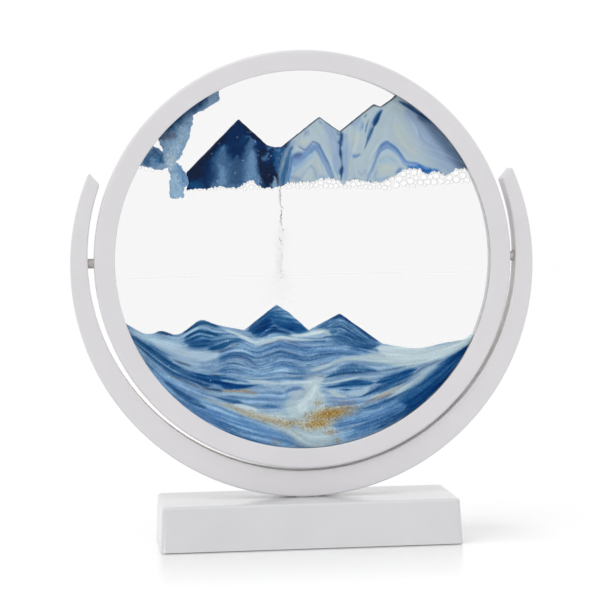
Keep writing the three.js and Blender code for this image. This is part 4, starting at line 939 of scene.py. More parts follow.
def piece(mesh, material, body, slot, *replaced, flat_faces=True):
    """An object of the scene that rides on a body, and stands for CAD nodes where it replaces any."""
    obj = bpy.data.objects.new(mesh.name, mesh)
    bpy.context.scene.collection.objects.link(obj)
    mesh.materials.append(material)
    if flat_faces:
        obj.modifiers.new("even_normals", "WEIGHTED_NORMAL").keep_sharp = True
    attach(obj, body)
    if replaced:
        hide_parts(*replaced)
    return obj


def dress(material, *names):
    """Gives CAD nodes that stay in view their material."""
    for name in names:
        for material_slot in nodes[name].material_slots:
            material_slot.link = "OBJECT"
            material_slot.material = material


# Materials

def linear(rgb):
    """Linear colour of an sRGB colour of 0 to 255."""
    share = np.asarray(rgb, float) / 255
    return np.where(share <= 0.04045, share / 12.92, ((share + 0.055) / 1.055) ** 2.4)


def socket_colour(rgb):
    return (*linear(rgb).tolist(), 1)


def add_node(tree, kind, inputs=None, **settings):
    made = tree.nodes.new(kind)
    for key, value in settings.items():
        setattr(made, key, value)
    for key, value in (inputs or {}).items():
        made.inputs[key].default_value = value
    return made


def new_material(name, **sockets):
    """A material with a principled shader, and the shader's own sockets set."""
    material = bpy.data.materials.new(name)
    material.use_nodes = True
    shader = material.node_tree.nodes["Principled BSDF"]
    for key, value in sockets.items():
        shader.inputs[key.replace("_", " ")].default_value = value
    return material, material.node_tree, shader


def object_noise(tree, scale, detail=3, roughness=0.55):
    """Noise in the object's own space, so that it stays put when the disc turns."""
    place = add_node(tree, "ShaderNodeTexCoord")
    noise = add_node(tree, "ShaderNodeTexNoise", {"Scale": scale, "Detail": detail, "Roughness": roughness})
    tree.links.new(place.outputs["Object"], noise.inputs["Vector"])
    return noise.outputs["Fac"]


def ranged(tree, value, low, high, start=0.3, end=0.7):
    """A value between start and end spread over a range from low to high."""
    limits = {"From Min": start, "From Max": end, "To Min": low, "To Max": high}
    spread = add_node(tree, "ShaderNodeMapRange", limits)
    tree.links.new(value, spread.inputs["Value"])
    return spread.outputs["Result"]


def two_tone(tree, value, first, second):
    """A colour that goes from the first to the second with a value."""
    mix = add_node(tree, "ShaderNodeMix", data_type="RGBA")
    mix.inputs[MIX_FIRST].default_value = socket_colour(first)
    mix.inputs[MIX_SECOND].default_value = socket_colour(second)
    tree.links.new(value, mix.inputs["Factor"])
    return mix.outputs[MIX_RESULT]


def add_bump(tree, shader, value, strength, distance):
    bump = add_node(tree, "ShaderNodeBump", {"Strength": strength, "Distance": distance * MM})
    tree.links.new(value, bump.inputs["Height"])
    tree.links.new(bump.outputs["Normal"], shader.inputs["Normal"])


def slot_light_mask(tree):
    """1 on the cradle's wall of the slot around the round frame, which is painted paler there as painted
    bounce light, and 0 elsewhere.
    """
    place = add_node(tree, "ShaderNodeTexCoord")
    from_pivot = add_node(tree, "ShaderNodeVectorMath", {1: pivot}, operation="SUBTRACT")
    tree.links.new(place.outputs["Object"], from_pivot.inputs[0])
    face_on = add_node(tree, "ShaderNodeVectorMath", {1: (1, 0, 1)}, operation="MULTIPLY")
    tree.links.new(from_pivot.outputs["Vector"], face_on.inputs[0])
    reach = add_node(tree, "ShaderNodeVectorMath", operation="LENGTH")
    tree.links.new(face_on.outputs["Vector"], reach.inputs[0])
    axes = add_node(tree, "ShaderNodeSeparateXYZ")
    tree.links.new(from_pivot.outputs["Vector"], axes.inputs["Vector"])
    depth = add_node(tree, "ShaderNodeMath", operation="ABSOLUTE")
    tree.links.new(axes.outputs["Y"], depth.inputs[0])
    start = RING_RADIUS + SLOT_BLEND
    beyond = ranged(tree, reach.outputs["Value"], 0, 1, start * MM, (start + SLOT_BLEND) * MM)
    short = ranged(tree, reach.outputs["Value"], 1, 0, ARM_INNER * MM, (ARM_INNER + ARC_EDGE) * MM)
    face = ARC_DEPTH / 2
    between = ranged(tree, depth.outputs["Value"], 1, 0, (face - SLOT_BLEND) * MM, face * MM)
    return combined(tree, combined(tree, beyond, short), between)


def moulded(name, first, second, roughness, grain_scale, grain_strength, slot_light=None):
    """A moulded plastic or rubber: slightly uneven colour and gloss, a fine grain, and, where a slot colour
    is given, painted light that makes the cradle's slot wall paler.
    """
    material, tree, shader = new_material(name)
    tone = ranged(tree, object_noise(tree, TONE_SCALE), 0, 1)
    colour = two_tone(tree, tone, first, second)
    # Painted light: the slot wall between ring and arc is painted paler, for light bouncing in the gap
    if slot_light:
        colour = mixed_colour(tree, slot_light_mask(tree), colour, socket_colour(slot_light))
    tree.links.new(colour, shader.inputs["Base Color"])
    gloss = ranged(tree, object_noise(tree, GLOSS_SCALE, HIGH_DETAIL), *roughness)
    tree.links.new(gloss, shader.inputs["Roughness"])
    add_bump(tree, shader, object_noise(tree, grain_scale, LOW_DETAIL), grain_strength, GRAIN_DEPTH)
    return material


def turned_steel():
    """Steel with a slightly uneven tone and gloss, and a fine grain."""
    material, tree, shader = new_material("turned_steel", Metallic=METAL_SHARE)
    tone = ranged(tree, object_noise(tree, METAL_TONE_SCALE), 0, 1)
    tree.links.new(two_tone(tree, tone, *METAL_TONES), shader.inputs["Base Color"])
    gloss = ranged(tree, object_noise(tree, METAL_GLOSS_SCALE, HIGH_DETAIL), *METAL_ROUGHNESS)
    tree.links.new(gloss, shader.inputs["Roughness"])
    grain = object_noise(tree, METAL_GRAIN_SCALE, LOW_DETAIL)
    add_bump(tree, shader, grain, METAL_GRAIN, METAL_GRAIN_DEPTH)
    return material


def clear(name, tint, index, roughness, painted_glow=0, shine_inside=False):
    """A see-through material: a tint, an optional painted glow that makes froth look whiter, and a shine at a
    slant on its outer side.
    """
    material = bpy.data.materials.new(name)
    material.use_nodes = True
    tree = material.node_tree
    tree.nodes.remove(tree.nodes["Principled BSDF"])
    through = add_node(tree, "ShaderNodeBsdfTransparent", {"Color": (*tint, 1)})
    shine = add_node(tree, "ShaderNodeBsdfGlossy", {"Roughness": roughness})
    slant = add_node(tree, "ShaderNodeFresnel", {"IOR": index})
    strength = slant.outputs["Fac"]
    if not shine_inside:
        facing = add_node(tree, "ShaderNodeNewGeometry")
        strength = combined(tree, strength, ranged(tree, facing.outputs["Backfacing"], 1, 0, 0, 1))
    mix = add_node(tree, "ShaderNodeMixShader")
    tree.links.new(strength, mix.inputs["Fac"])
    tree.links.new(through.outputs["BSDF"], mix.inputs[1])
    tree.links.new(shine.outputs["BSDF"], mix.inputs[2])
    surface = mix.outputs["Shader"]
    # Painted light: a faint white emission laid over the material, so that froth looks lit
    if painted_glow:
        painted_glow_node = add_node(tree, "ShaderNodeEmission", {"Color": WHITE, "Strength": painted_glow})
        both = add_node(tree, "ShaderNodeAddShader")
        tree.links.new(surface, both.inputs[0])
        tree.links.new(painted_glow_node.outputs["Emission"], both.inputs[1])
        surface = both.outputs["Shader"]
    tree.links.new(surface, tree.nodes["Material Output"].inputs["Surface"])
    return material


def faint(name, rgb, cover):
    """A thin film that shows its colour weakly over what is behind it."""
    material, tree, shader = new_material(name, Roughness=FILM_ROUGHNESS)
    tone = ranged(tree, object_noise(tree, FILM_TONE_SCALE), 0, 1)
    darker = tuple(FILM_DARKER * channel for channel in rgb)
    tree.links.new(two_tone(tree, tone, darker, rgb), shader.inputs["Base Color"])
    through = add_node(tree, "ShaderNodeBsdfTransparent")
    mix = add_node(tree, "ShaderNodeMixShader", {"Fac": cover})
    tree.links.new(through.outputs["BSDF"], mix.inputs[1])
    tree.links.new(shader.outputs["BSDF"], mix.inputs[2])
    tree.links.new(mix.outputs["Shader"], tree.nodes["Material Output"].inputs["Surface"])
    return material


def combined(tree, first, second, operation="MULTIPLY"):
    """Two values put together by an operation, which multiplies them if no other is named."""
    maths = add_node(tree, "ShaderNodeMath", operation=operation)
    tree.links.new(first, maths.inputs[0])
    if isinstance(second, (int, float)):
        maths.inputs[1].default_value = second
    else:
        tree.links.new(second, maths.inputs[1])
    return maths.outputs["Value"]


def mixed_colour(tree, factor, below, above):
    """A colour laid over another as far as a factor says."""
    mix = add_node(tree, "ShaderNodeMix", data_type="RGBA")
    tree.links.new(factor, mix.inputs["Factor"])
    tree.links.new(below, mix.inputs[MIX_FIRST])
    if isinstance(above, tuple):
        mix.inputs[MIX_SECOND].default_value = above
    else:
        tree.links.new(above, mix.inputs[MIX_SECOND])
    return mix.outputs[MIX_RESULT]


def specks(tree, scale, size, share):
    """A mask of small round grains, of which only a share is kept."""
    place = add_node(tree, "ShaderNodeTexCoord")
    cells = add_node(tree, "ShaderNodeTexVoronoi", {"Scale": scale})
    tree.links.new(place.outputs["Object"], cells.inputs["Vector"])
    near = combined(tree, cells.outputs["Distance"], size, "LESS_THAN")
    chance = add_node(tree, "ShaderNodeSeparateColor")
    tree.links.new(cells.outputs["Color"], chance.inputs["Color"])
    kept = combined(tree, chance.outputs["Red"], share, "LESS_THAN")
    return combined(tree, near, kept)


def painted_sand(name):
    """Fine sand in the colours painted on its mesh, with a grain and loose white and gold grains by place."""
    material, tree, shader = new_material(name)
    shader.inputs["Specular IOR Level"].default_value = SAND_SPECULAR
    colour = add_node(tree, "ShaderNodeAttribute", attribute_name="sand_colour").outputs["Color"]
    marks = add_node(tree, "ShaderNodeSeparateColor")
    stored = add_node(tree, "ShaderNodeAttribute", attribute_name="sand_marks")
    tree.links.new(stored.outputs["Color"], marks.inputs["Color"])
    noise = object_noise(tree, SAND_TONE_SCALE, SAND_TONE_DETAIL, SAND_TONE_ROUGHNESS)
    unevenness = ranged(tree, noise, -1, 1, *SAND_TONE_RANGE)
    grain = combined(tree, combined(tree, unevenness, marks.outputs["Blue"]), 1, "ADD")
    tinted = add_node(tree, "ShaderNodeHueSaturation")
    tree.links.new(colour, tinted.inputs["Color"])
    tree.links.new(grain, tinted.inputs["Value"])
    white = specks(tree, STAR_SCALE, STAR_SIZE, marks.outputs["Green"])
    layered = mixed_colour(tree, white, tinted.outputs["Color"], socket_colour(STAR))
    gold = specks(tree, GOLD_GRAIN_SCALE, GOLD_GRAIN_SIZE, marks.outputs["Red"])
    layered = mixed_colour(tree, gold, layered, socket_colour(GOLD_GRAIN))
    tree.links.new(layered, shader.inputs["Base Color"])
    gloss = ranged(tree, object_noise(tree, SAND_ROUGHNESS_SCALE), *SAND_ROUGHNESS)
    tree.links.new(gloss, shader.inputs["Roughness"])
    add_bump(tree, shader, object_noise(tree, SAND_GRAIN_SCALE, LOW_DETAIL), SAND_GRAIN, GRAIN_DEPTH)
    return material


# Painting of the sand

class Canvas:
    """Colours on a fine grid over part of the disc, painted in bands and then drawn out along them."""

    def __init__(self, low, high, fill, stars, grain):
        self.low = np.array(low, float)
        x = np.arange(low[0], high[0] + CANVAS_CELL, CANVAS_CELL)
        z = np.arange(low[1], high[1] + CANVAS_CELL, CANVAS_CELL)
        self.places = np.stack(np.meshgrid(x, z), axis=-1)
        self.colour = np.tile(np.array(fill, float), (len(z), len(x), 1))
        self.marks = np.tile(np.array((0, stars, grain), float), (len(z), len(x), 1))

    def sampled(self, field, places):
        """Values of a field of the grid at any places."""
        rows, columns = field.shape[:2]
        u = np.clip((places[..., 0] - self.low[0]) / CANVAS_CELL, 0, columns - CELLS_FROM_END)
        v = np.clip((places[..., 1] - self.low[1]) / CANVAS_CELL, 0, rows - CELLS_FROM_END)
        i = u.astype(int)
        k = v.astype(int)
        fu = (u - i)[..., None]
        fv = (v - k)[..., None]
        low = field[k, i] * (1 - fu) + field[k, i + 1] * fu
        high = field[k + 1, i] * (1 - fu) + field[k + 1, i + 1] * fu
        return low * (1 - fv) + high * fv

    def wash(self, cover, rgb):
        """Mixes a colour in, as far as the cover says at each point."""
        self.colour += (np.array(rgb, float) - self.colour) * cover[..., None]

    def lay(self, other, cover):
        """Lays another canvas of the same grid over this one."""
        self.wash(cover, other.colour)
        self.marks += (other.marks - self.marks) * cover[..., None]

    def ribbon(self, rgb, points, softness, strength, taper):
        """A soft band along a smooth curve, which thins out over a length at both ends."""
        path = smooth_path(points, RIBBON_STEP)
        along = np.concatenate([[0], np.cumsum(np.hypot(*np.diff(path[:, :2], axis=0).T))])
        from_end = np.clip(np.minimum(along, along[-1] - along) / taper, 0, 1)
        path[:, 2] *= RIBBON_TIP + (1 - RIBBON_TIP) * from_end
        reach = (0.5 + softness) * path[:, 2].max() + 2 * CANVAS_CELL
        first = np.floor((path[:, :2].min(0) - reach - self.low) / CANVAS_CELL).astype(int)
        last = np.ceil((path[:, :2].max(0) + reach - self.low) / CANVAS_CELL).astype(int) + 1
        window = (slice(max(first[1], 0), max(last[1], 0)), slice(max(first[0], 0), max(last[0], 0)))
        places = self.places[window].reshape(-1, 2)
        if len(places) == 0:
            return
        apart = ((places[:, None, :] - path[None, :, :2]) ** 2).sum(2)
        closest = apart.argmin(1)
        half = path[closest, 2] / 2
        edge = RIBBON_EDGE + softness * half
        cover = np.clip((half + edge - np.sqrt(apart.min(1))) / (2 * edge), 0, 1)
        cover = strength * cover * cover * (3 - 2 * cover)
        part = self.colour[window]
        part += (np.array(rgb, float) - part) * cover.reshape(part.shape[:2])[..., None]

    def paint(self, bands, brush):
        """Lays bands over each other in their order."""
        for rgb, points in bands:
            self.ribbon(rgb, points, *brush)

    def dust(self, middle, sizes, tilt, density):
        """A spot where gold grains lie, densest in its middle."""
        turn = math.radians(tilt)
        x, z = np.moveaxis(self.places - middle, -1, 0)
        u = (x * math.cos(turn) + z * math.sin(turn)) / sizes[0]
        v = (z * math.cos(turn) - x * math.sin(turn)) / sizes[1]
        share = density * np.clip(DUST_REACH - np.hypot(u, v), 0, 1)
        self.marks[..., 0] = np.maximum(self.marks[..., 0], share)

    def flow(self, bands):
        """Directions that follow the bands, and between them the nearest ones."""
        paths = [resampled(smooth_path(points, FLOW_CURVE_STEP), FLOW_STEP) for _, points in bands]
        starts = np.vstack([path[:-1, :2] for path in paths])
        steps = np.vstack([np.diff(path[:, :2], axis=0) for path in paths])
        turn = 2 * np.arctan2(steps[:, 1], steps[:, 0])
        doubled = np.column_stack([np.cos(turn), np.sin(turn)])
        coarse = self.places[::FLOW_STRIDE, ::FLOW_STRIDE]
        field = np.zeros(coarse.shape)
        for row, places in enumerate(coarse):
            apart = ((places[:, None, :] - starts[None]) ** 2).sum(2)
            field[row] = (1 / (apart + 1) ** FLOW_FALLOFF) @ doubled + FLOW_LEVEL
        field /= np.linalg.norm(field, axis=-1, keepdims=True)
        whole = self.sampled(field, self.low + (self.places - self.low) / FLOW_STRIDE)
        angle = np.arctan2(whole[..., 1], whole[..., 0]) / 2
        return np.stack([np.cos(angle), np.sin(angle)], axis=-1)

    def along(self, field, flow, length):
        """A field averaged along the flow."""
        total = field.copy()
        count = 1
        for sense in (1, -1):
            places = self.places.copy()
            heading = sense * flow
            for _ in range(int(length / STREAK_STEP)):
                ahead = self.sampled(flow, places)
                ahead *= np.where((ahead * heading).sum(-1, keepdims=True) < 0, -1, 1)
                places = places + STREAK_STEP * ahead
                heading = ahead
                total += self.sampled(field, places)
                count += 1
        return total / count

    def streaks(self, flow, length, width, seed):
        """Noise drawn out along the flow, with a spread of about one."""
        x, z = np.moveaxis(self.places, -1, 0)
        drawn = self.along(value_noise(x, z, width, seed)[..., None], flow, length)
        drawn -= drawn.mean()
        return np.clip(drawn / drawn.std(), -STREAK_LIMIT, STREAK_LIMIT)

    def draw_out(self, bands, smear, length, jitter, contrast, seed):
        """Smears the bands along their flow, breaks up their edges and adds fine pale and dark lines."""
        flow = self.flow(bands)
        aside = np.stack([-flow[..., 1], flow[..., 0]], axis=-1)
        self.colour = self.along(self.colour, flow, smear)
        shift = self.streaks(flow, length, LINE_WIDTH, seed)
        self.colour = self.sampled(self.colour, self.places + jitter * shift * aside)
        line = self.streaks(flow, length, LINE_WIDTH, seed + 1)
        broad = self.streaks(flow, length, BROAD_LINES * LINE_WIDTH, seed + 2)
        depth = (FOAM[0] - self.colour[..., :1]) / (FOAM[0] - MID[0])
        depth = np.clip(depth, LEAST_DEPTH, 1)
        shade = line + BROAD_SHARE * broad
        shade = np.where(shade > 0, PALE_LINE_GAIN, 1) * shade
        bright = self.colour.mean(-1, keepdims=True) / LINE_FULL_BRIGHTNESS
        bright = np.clip(bright, LEAST_BRIGHTNESS, 1)
        self.colour += contrast * depth * bright * (shade - shade.mean()) * LINE_SHADE
        self.marks[..., 2:] *= depth

    def stir(self, amounts, seed):
        """Pushes the colours about by noise of several sizes, as a cloud is."""
        x, z = np.moveaxis(self.places, -1, 0)
        push = np.zeros(self.places.shape)
        for scale, amount in amounts:
            for axis in (0, 1):
                push[..., axis] += amount * value_noise(x, z, scale, seed + axis)
            seed += 2
        self.colour = self.sampled(self.colour, self.places + push)


def inner_points(outline, step):
    """Points of a staggered grid inside an outline, a little away from its edge."""
    start = outline
    end = np.roll(outline, -1, axis=0)
    rows = []
    for k, z in enumerate(np.arange(outline[:, 1].min() + step / 2, outline[:, 1].max(), step)):
        cut = (start[:, 1] <= z) != (end[:, 1] <= z)
        share = (z - start[cut, 1]) / (end[cut, 1] - start[cut, 1])
        crossings = np.sort(start[cut, 0] + share * (end[cut, 0] - start[cut, 0]))
        shift = step / 2 if k % 2 else 0
        for left, right in zip(crossings[0::2], crossings[1::2]):
            first = math.ceil((left + EDGE_CLEARANCE * step - shift) / step) * step + shift
            x = np.arange(first, right - EDGE_CLEARANCE * step, step)
            rows.append(np.column_stack([x, np.full(len(x), z)]))
    return np.vstack(rows)


def within(outline, points):
    """Whether each point lies inside a closed outline."""
    start = outline
    end = np.roll(outline, -1, axis=0)
    odd = np.zeros(len(points), bool)
    for (x0, z0), (x1, z1) in zip(start, end):
        if z0 == z1:
            continue
        spans = (z0 <= points[:, 1]) != (z1 <= points[:, 1])
        odd ^= spans & (points[:, 0] < x0 + (points[:, 1] - z0) / (z1 - z0) * (x1 - x0))
    return odd


def plate(name, stretches, half_depth):
    """A plate of sand inside a clockwise outline, as its mesh and the places of one face's points."""
    outline = inside_cavity(np.vstack([stretch[:-1] for stretch in stretches]))
    gaps = np.hypot(*(outline - np.roll(outline, 1, axis=0)).T)
    outline = outline[gaps > EDGE_STEP / 10]
    grid = inner_points(outline, SAND_GRID)
    points = [Vector(point) for point in np.vstack([outline, grid])]
    border = [list(range(len(outline)))]
    vertices, _, found, *_ = delaunay_2d_cdt(points, [], border, WHOLE_MESH, TINY)
    places = np.array(vertices)
    found = np.array(found)
    triangles = found[within(outline, places[found].mean(1))].tolist()
    count = len(places)
    front = np.column_stack([places[:, 0], np.full(count, -half_depth), places[:, 1]])
    back = front * (1, -1, 1)
    sides = {(a, b) for face in triangles for a, b in zip(face, face[1:] + face[:1])}
    faces = [tuple(face) for face in triangles]
    faces += [tuple(count + i for i in reversed(face)) for face in triangles]
    faces += [(b, a, count + a, count + b) for a, b in sides if (b, a) not in sides]
    mesh = bpy.data.meshes.new(name)
    mesh.from_pydata(np.vstack([front, back]) * MM + np.array(pivot), [], faces)
    return mesh, places


def put_paint(mesh, places, canvas):
    """Stores a canvas on both faces of a plate."""
    shown = linear(np.clip(canvas.sampled(canvas.colour, places), 0, 255)) * PANE_GAIN
    for name, values in (("sand_colour", shown), ("sand_marks", canvas.sampled(canvas.marks, places))):
        stored = mesh.attributes.new(name, "FLOAT_COLOR", "POINT")
        opaque = np.column_stack([values, np.ones(len(places))])
        stored.data.foreach_set("color", np.tile(opaque, (2, 1)).ravel())


# Frame, panes and pins

def disc_place():
    """Turns a lathe's axis to run front to back through the middle of the disc."""
    return Matrix.Translation(pivot) @ Matrix.Rotation(-math.pi / 2, 4, "X")


def ring_half(name, facing, aperture, material, replaced):
    corners = [
        (aperture, LIP_INNER_FACE, LIP_BACK_EDGE),
        (aperture, RING_FACE, LIP_EDGE),
        (RING_RADIUS, RING_FACE, RING_EDGE),
        (RING_RADIUS, SEAM_HALF_GAP, SEAM_EDGE),
        (WALL_INNER_RADIUS, SEAM_HALF_GAP, 0),
        (WALL_INNER_RADIUS, LIP_INNER_FACE, 0),
    ]
    profile = [(radius, facing * depth) for radius, depth in filleted(corners)]
    piece(turned(name, profile, RING_SEGMENTS, disc_place()), material, "disc", "white_plastic", replaced)


def pane(name, facing, material, replaced):
    corners = [
        (0, PANE_INNER_FACE, 0),
        (PANE_RADIUS, PANE_INNER_FACE, PANE_EDGE),
        (PANE_RADIUS, PANE_OUTER_FACE, PANE_EDGE),
        (0, PANE_OUTER_FACE, 0),
    ]
    profile = [(radius, facing * depth) for radius, depth in filleted(corners, PANE_EDGE_STEPS)]
    mesh = turned(name, profile, RING_SEGMENTS, disc_place(), closed=False)
    piece(mesh, material, "disc", "pane_glass", replaced)


def pin(name, side, material, replaced):
    corners = [
        (0, PIN_START, 0),
        (PIN_FLANGE_RADIUS, PIN_START, PIN_FLANGE_EDGE),
        (PIN_FLANGE_RADIUS, PIN_FLANGE_END, PIN_FLANGE_EDGE),
        (PIN_RADIUS, PIN_FLANGE_END, PIN_NECK_EDGE),
        (PIN_RADIUS, PIN_END, PIN_CHAMFER),
        (0, PIN_END, 0),
    ]
    place = Matrix.Translation(pivot) @ Matrix.Rotation(side * math.pi / 2, 4, "Y")
    mesh = turned(name, filleted(corners, PIN_EDGE_STEPS), PIN_SEGMENTS, place, closed=False)
    piece(mesh, material, "disc", "steel", replaced)


# Cradle arc

def crescent_circle(aside, below):
    """Radius of the circle through both sides and the bottom, and how far its middle lies above the pivot."""
    above = aside ** 2 / below
    return (above + below) / 2, (above - below) / 2


def angle_on_circle(radius, lift, angle):
    """Where a ray from the pivot meets such a circle, as an angle about the circle's own middle."""
    reach = lift * math.sin(angle) + math.sqrt(radius ** 2 - (lift * math.cos(angle)) ** 2)
    return math.atan2(reach * math.sin(angle) - lift, reach * math.cos(angle))


def arc_point(circle, tip, share):
    """A point of a crescent circle, from the right tip at 0 to the left tip at 1."""
    radius, lift = circle
    turn = tip - share * (math.pi + 2 * tip)
    return Vector((radius * math.cos(turn), lift + radius * math.sin(turn)))


def arc_loop(share, inset):
    """Section of the arc at a place along it, drawn in on all sides by an inset."""
    outer = crescent_circle(ARM_OUTER, ARC_OUTER_DROP)
    inner = crescent_circle(ARM_INNER, ARC_INNER_DROP)
    outside = arc_point(outer, angle_on_circle(*outer, TIP_OUTER_ANGLE), share)
    inside = arc_point(inner, angle_on_circle(*inner, TIP_INNER_ANGLE), share)
    across = (outside - inside).normalized()
    middle = (outside + inside) / 2
    half = (outside - inside).length / 2 - inset
    loop = []
    corner = max(ARC_EDGE - inset, ARC_LEAST_EDGE)
    for u, v in rounded_rectangle(half, ARC_DEPTH / 2 - inset, corner, ARC_EDGE_STEPS):
        point = middle + across * u
        loop.append((point.x, v, point.y + pivot.z / MM))
    return loop


def cradle_arc(material):
    edge_share = ARC_EDGE / (math.pi * ARM_INNER)
    turns = [k / TIP_STEPS * math.pi / 2 for k in range(TIP_STEPS + 1)]
    tip = [(edge_share * (1 - math.sin(turn)), ARC_EDGE * (1 - math.cos(turn))) for turn in reversed(turns)]
    run = [(edge_share + (1 - 2 * edge_share) * k / ARC_STEPS, 0) for k in range(1, ARC_STEPS)]
    end = [(1 - share, inset) for share, inset in reversed(tip)]
    loops = [arc_loop(share, inset) for share, inset in tip + run + end]
    piece(lofted("cradle_crescent", loops), material, "stand", "white_plastic", "cradle_arc")


def arc_tenon(material):
    """The block under the arc that stands in the base."""
    sections = (
        (BASE_TOP - TENON_BELOW, TENON_WIDTH),
        (BASE_TOP - 2 * TENON_SHOULDER, TENON_WIDTH),
        (BASE_TOP - TENON_SHOULDER, TENON_NECK),
        (BASE_TOP + TENON_ABOVE, TENON_NECK),
    )
    loops = []
    for z, width in sections:
        outline = rounded_rectangle(width / 2, TENON_DEPTH / 2, TENON_EDGE, TENON_EDGE_STEPS)
        loops.append([(x, y, z) for x, y in outline])
    piece(lofted("cradle_tenon", loops), material, "stand", "white_plastic")


# Base

def base_loop(z, inset):
    drawn_in = BASE_DRAFT * (z - BASE_BOTTOM) / (BASE_TOP - BASE_BOTTOM) + inset
    corner = max(BASE_CORNER - inset, BASE_LEAST_CORNER)
    outline = rounded_rectangle(BASE_WIDTH / 2 - drawn_in, BASE_DEPTH / 2 - drawn_in, corner)
    return [(x, y, z) for x, y in outline]


def base_block(material):
    """The block, hollow from below, with a rounded top edge."""
    roof = BASE_TOP - BASE_ROOF
    loops = [base_loop(roof, BASE_WALL), base_loop(BASE_BOTTOM, BASE_WALL)]
    quarter = [k / BASE_EDGE_STEPS * math.pi / 2 for k in range(BASE_EDGE_STEPS + 1)]
    for turn in quarter:
        inset = BASE_FOOT_EDGE * (1 - math.sin(turn))
        loops.append(base_loop(BASE_BOTTOM + BASE_FOOT_EDGE * (1 - math.cos(turn)), inset))
    for turn in quarter:
        inset = BASE_EDGE * (1 - math.cos(turn))
        loops.append(base_loop(BASE_TOP - BASE_EDGE * (1 - math.sin(turn)), inset))
    return piece(lofted("base_block", loops), material, "stand", "white_plastic", "base_shell")


# Sand

def upper_sand(material, bubbles):
    ridge = roughened(MOUNTAIN_RIDGE, RIDGE_ROUGHNESS, RIDGE_SEED)
    foot = bubbled(roughened(MOUNTAIN_FOOT, FOOT_ROUGHNESS, FOOT_SEED), bubbles)
    wall = resampled((MOUNTAIN_RIDGE[-1], MOUNTAIN_FOOT[0]), EDGE_STEP)
    flank = roughened(MOUNTAIN_LEFT_FLANK, FLANK_ROUGHNESS, FLANK_SEED)
    mesh, places = plate("mountain_sand", [ridge, wall, foot, flank], FILL_HALF_DEPTH)
    canvas = Canvas(*MOUNTAIN_CANVAS, STONE, *MARBLE_GRAINS)
    # Soft tones of the sand, and painted shade along the ring's lip
    canvas.paint(MARBLE_TONES_AND_RING_SHADE, SHADE_BRUSH)
    canvas.paint(MARBLE_BANDS, MARBLE_BRUSH)
    canvas.stir(MARBLE_STIR, MARBLE_STIR_SEED)
    canvas.draw_out(MARBLE_BANDS, *MARBLE_LINES, MARBLE_LINE_SEED)
    night = Canvas(*MOUNTAIN_CANVAS, NIGHT, *NIGHT_GRAINS)
    night.paint(NIGHT_BANDS, NIGHT_BRUSH)
    night.stir(NIGHT_STIR, NIGHT_STIR_SEED)
    x, z = np.moveaxis(canvas.places, -1, 0)
    heights, edges = zip(*VALLEY_EDGE)
    canvas.lay(night, np.clip((np.interp(z, heights, edges) - x) / VALLEY_BLEND + 0.5, 0, 1))
    crest = resampled(MOUNTAIN_RIDGE[:-1], RIDGE_LINE_STEP)
    canvas.ribbon(RIDGE_LINE, [(x, z, RIDGE_LINE_WIDTH) for x, z in crest], *RIDGE_BRUSH)
    put_paint(mesh, places, canvas)
    piece(mesh, material, "disc", "dark_blue_sand", "upper_sand", flat_faces=False)


def sand_drift(material):
    outline = roughened(DRIFT_OUTLINE + DRIFT_OUTLINE[:1], DRIFT_ROUGHNESS, DRIFT_SEED)
    mesh, places = plate("drift_sand", [outline], DRIFT_HALF_DEPTH)
    canvas = Canvas(*DRIFT_CANVAS, DRIFT_FILL, *DRIFT_GRAINS)
    canvas.paint(DRIFT_BANDS, DRIFT_BRUSH)
    canvas.stir(DRIFT_STIR, DRIFT_STIR_SEED)
    put_paint(mesh, places, canvas)
    piece(mesh, material, "disc", "pale_blue_sand", "sand_drift", flat_faces=False)


def strata():
    """Thin bands between neighbouring waves, which follow the shape of both."""
    bands = []
    for i, (upper, lower) in enumerate(zip(WAVES, WAVES[1:])):
        count = min(len(upper), len(lower))
        for k, share in enumerate(WAVE_SHARES):
            heights = (1 - share) * np.array(upper[:count]) + share * np.array(lower[:count])
            rgb = WAVE_COLOURS[(WAVE_COLOUR_SHIFT * i + k) % len(WAVE_COLOURS)]
            bands.append((rgb, [(x, z, WAVE_WIDTH) for x, z in zip(WAVE_PLACES, heights)]))
    return tuple(bands)


def lower_sand(material):
    left = roughened(smooth_path(DUNE_LEFT_SLOPE, EDGE_STEP), DUNE_ROUGHNESS, DUNE_LEFT_SEED)
    peaks = roughened(DUNE_PEAKS, DUNE_ROUGHNESS, DUNE_PEAKS_SEED)
    right = roughened(smooth_path(DUNE_RIGHT_SLOPE, EDGE_STEP), DUNE_ROUGHNESS, DUNE_RIGHT_SEED)
    floor = resampled(DUNE_FLOOR, EDGE_STEP)
    mesh, places = plate("dune_sand", [left, peaks, right, floor], FILL_HALF_DEPTH)
    canvas = Canvas(*DUNE_CANVAS, DUNE_FILL, *DUNE_GRAINS)
    bands = strata() + LOWER_BANDS
    canvas.paint(GROUND_BANDS + bands, DUNE_BRUSH)
    canvas.draw_out(bands, *DUNE_LINES, DUNE_LINE_SEED)
    for spot in GOLD_SPOTS:
        canvas.dust(*spot)
    canvas.wash(GOLD_WASH * canvas.marks[..., 0] ** GOLD_WASH_POWER, GOLD)
    put_paint(mesh, places, canvas)
    piece(mesh, material, "disc", "blue_sand", "lower_sand", flat_faces=False)


# Bubbles under the upper sand

def height_on(line, x):
    """Height of a line of points at a place along X."""
    ordered = sorted(line)
    return np.interp(x, [point[0] for point in ordered], [point[1] for point in ordered])


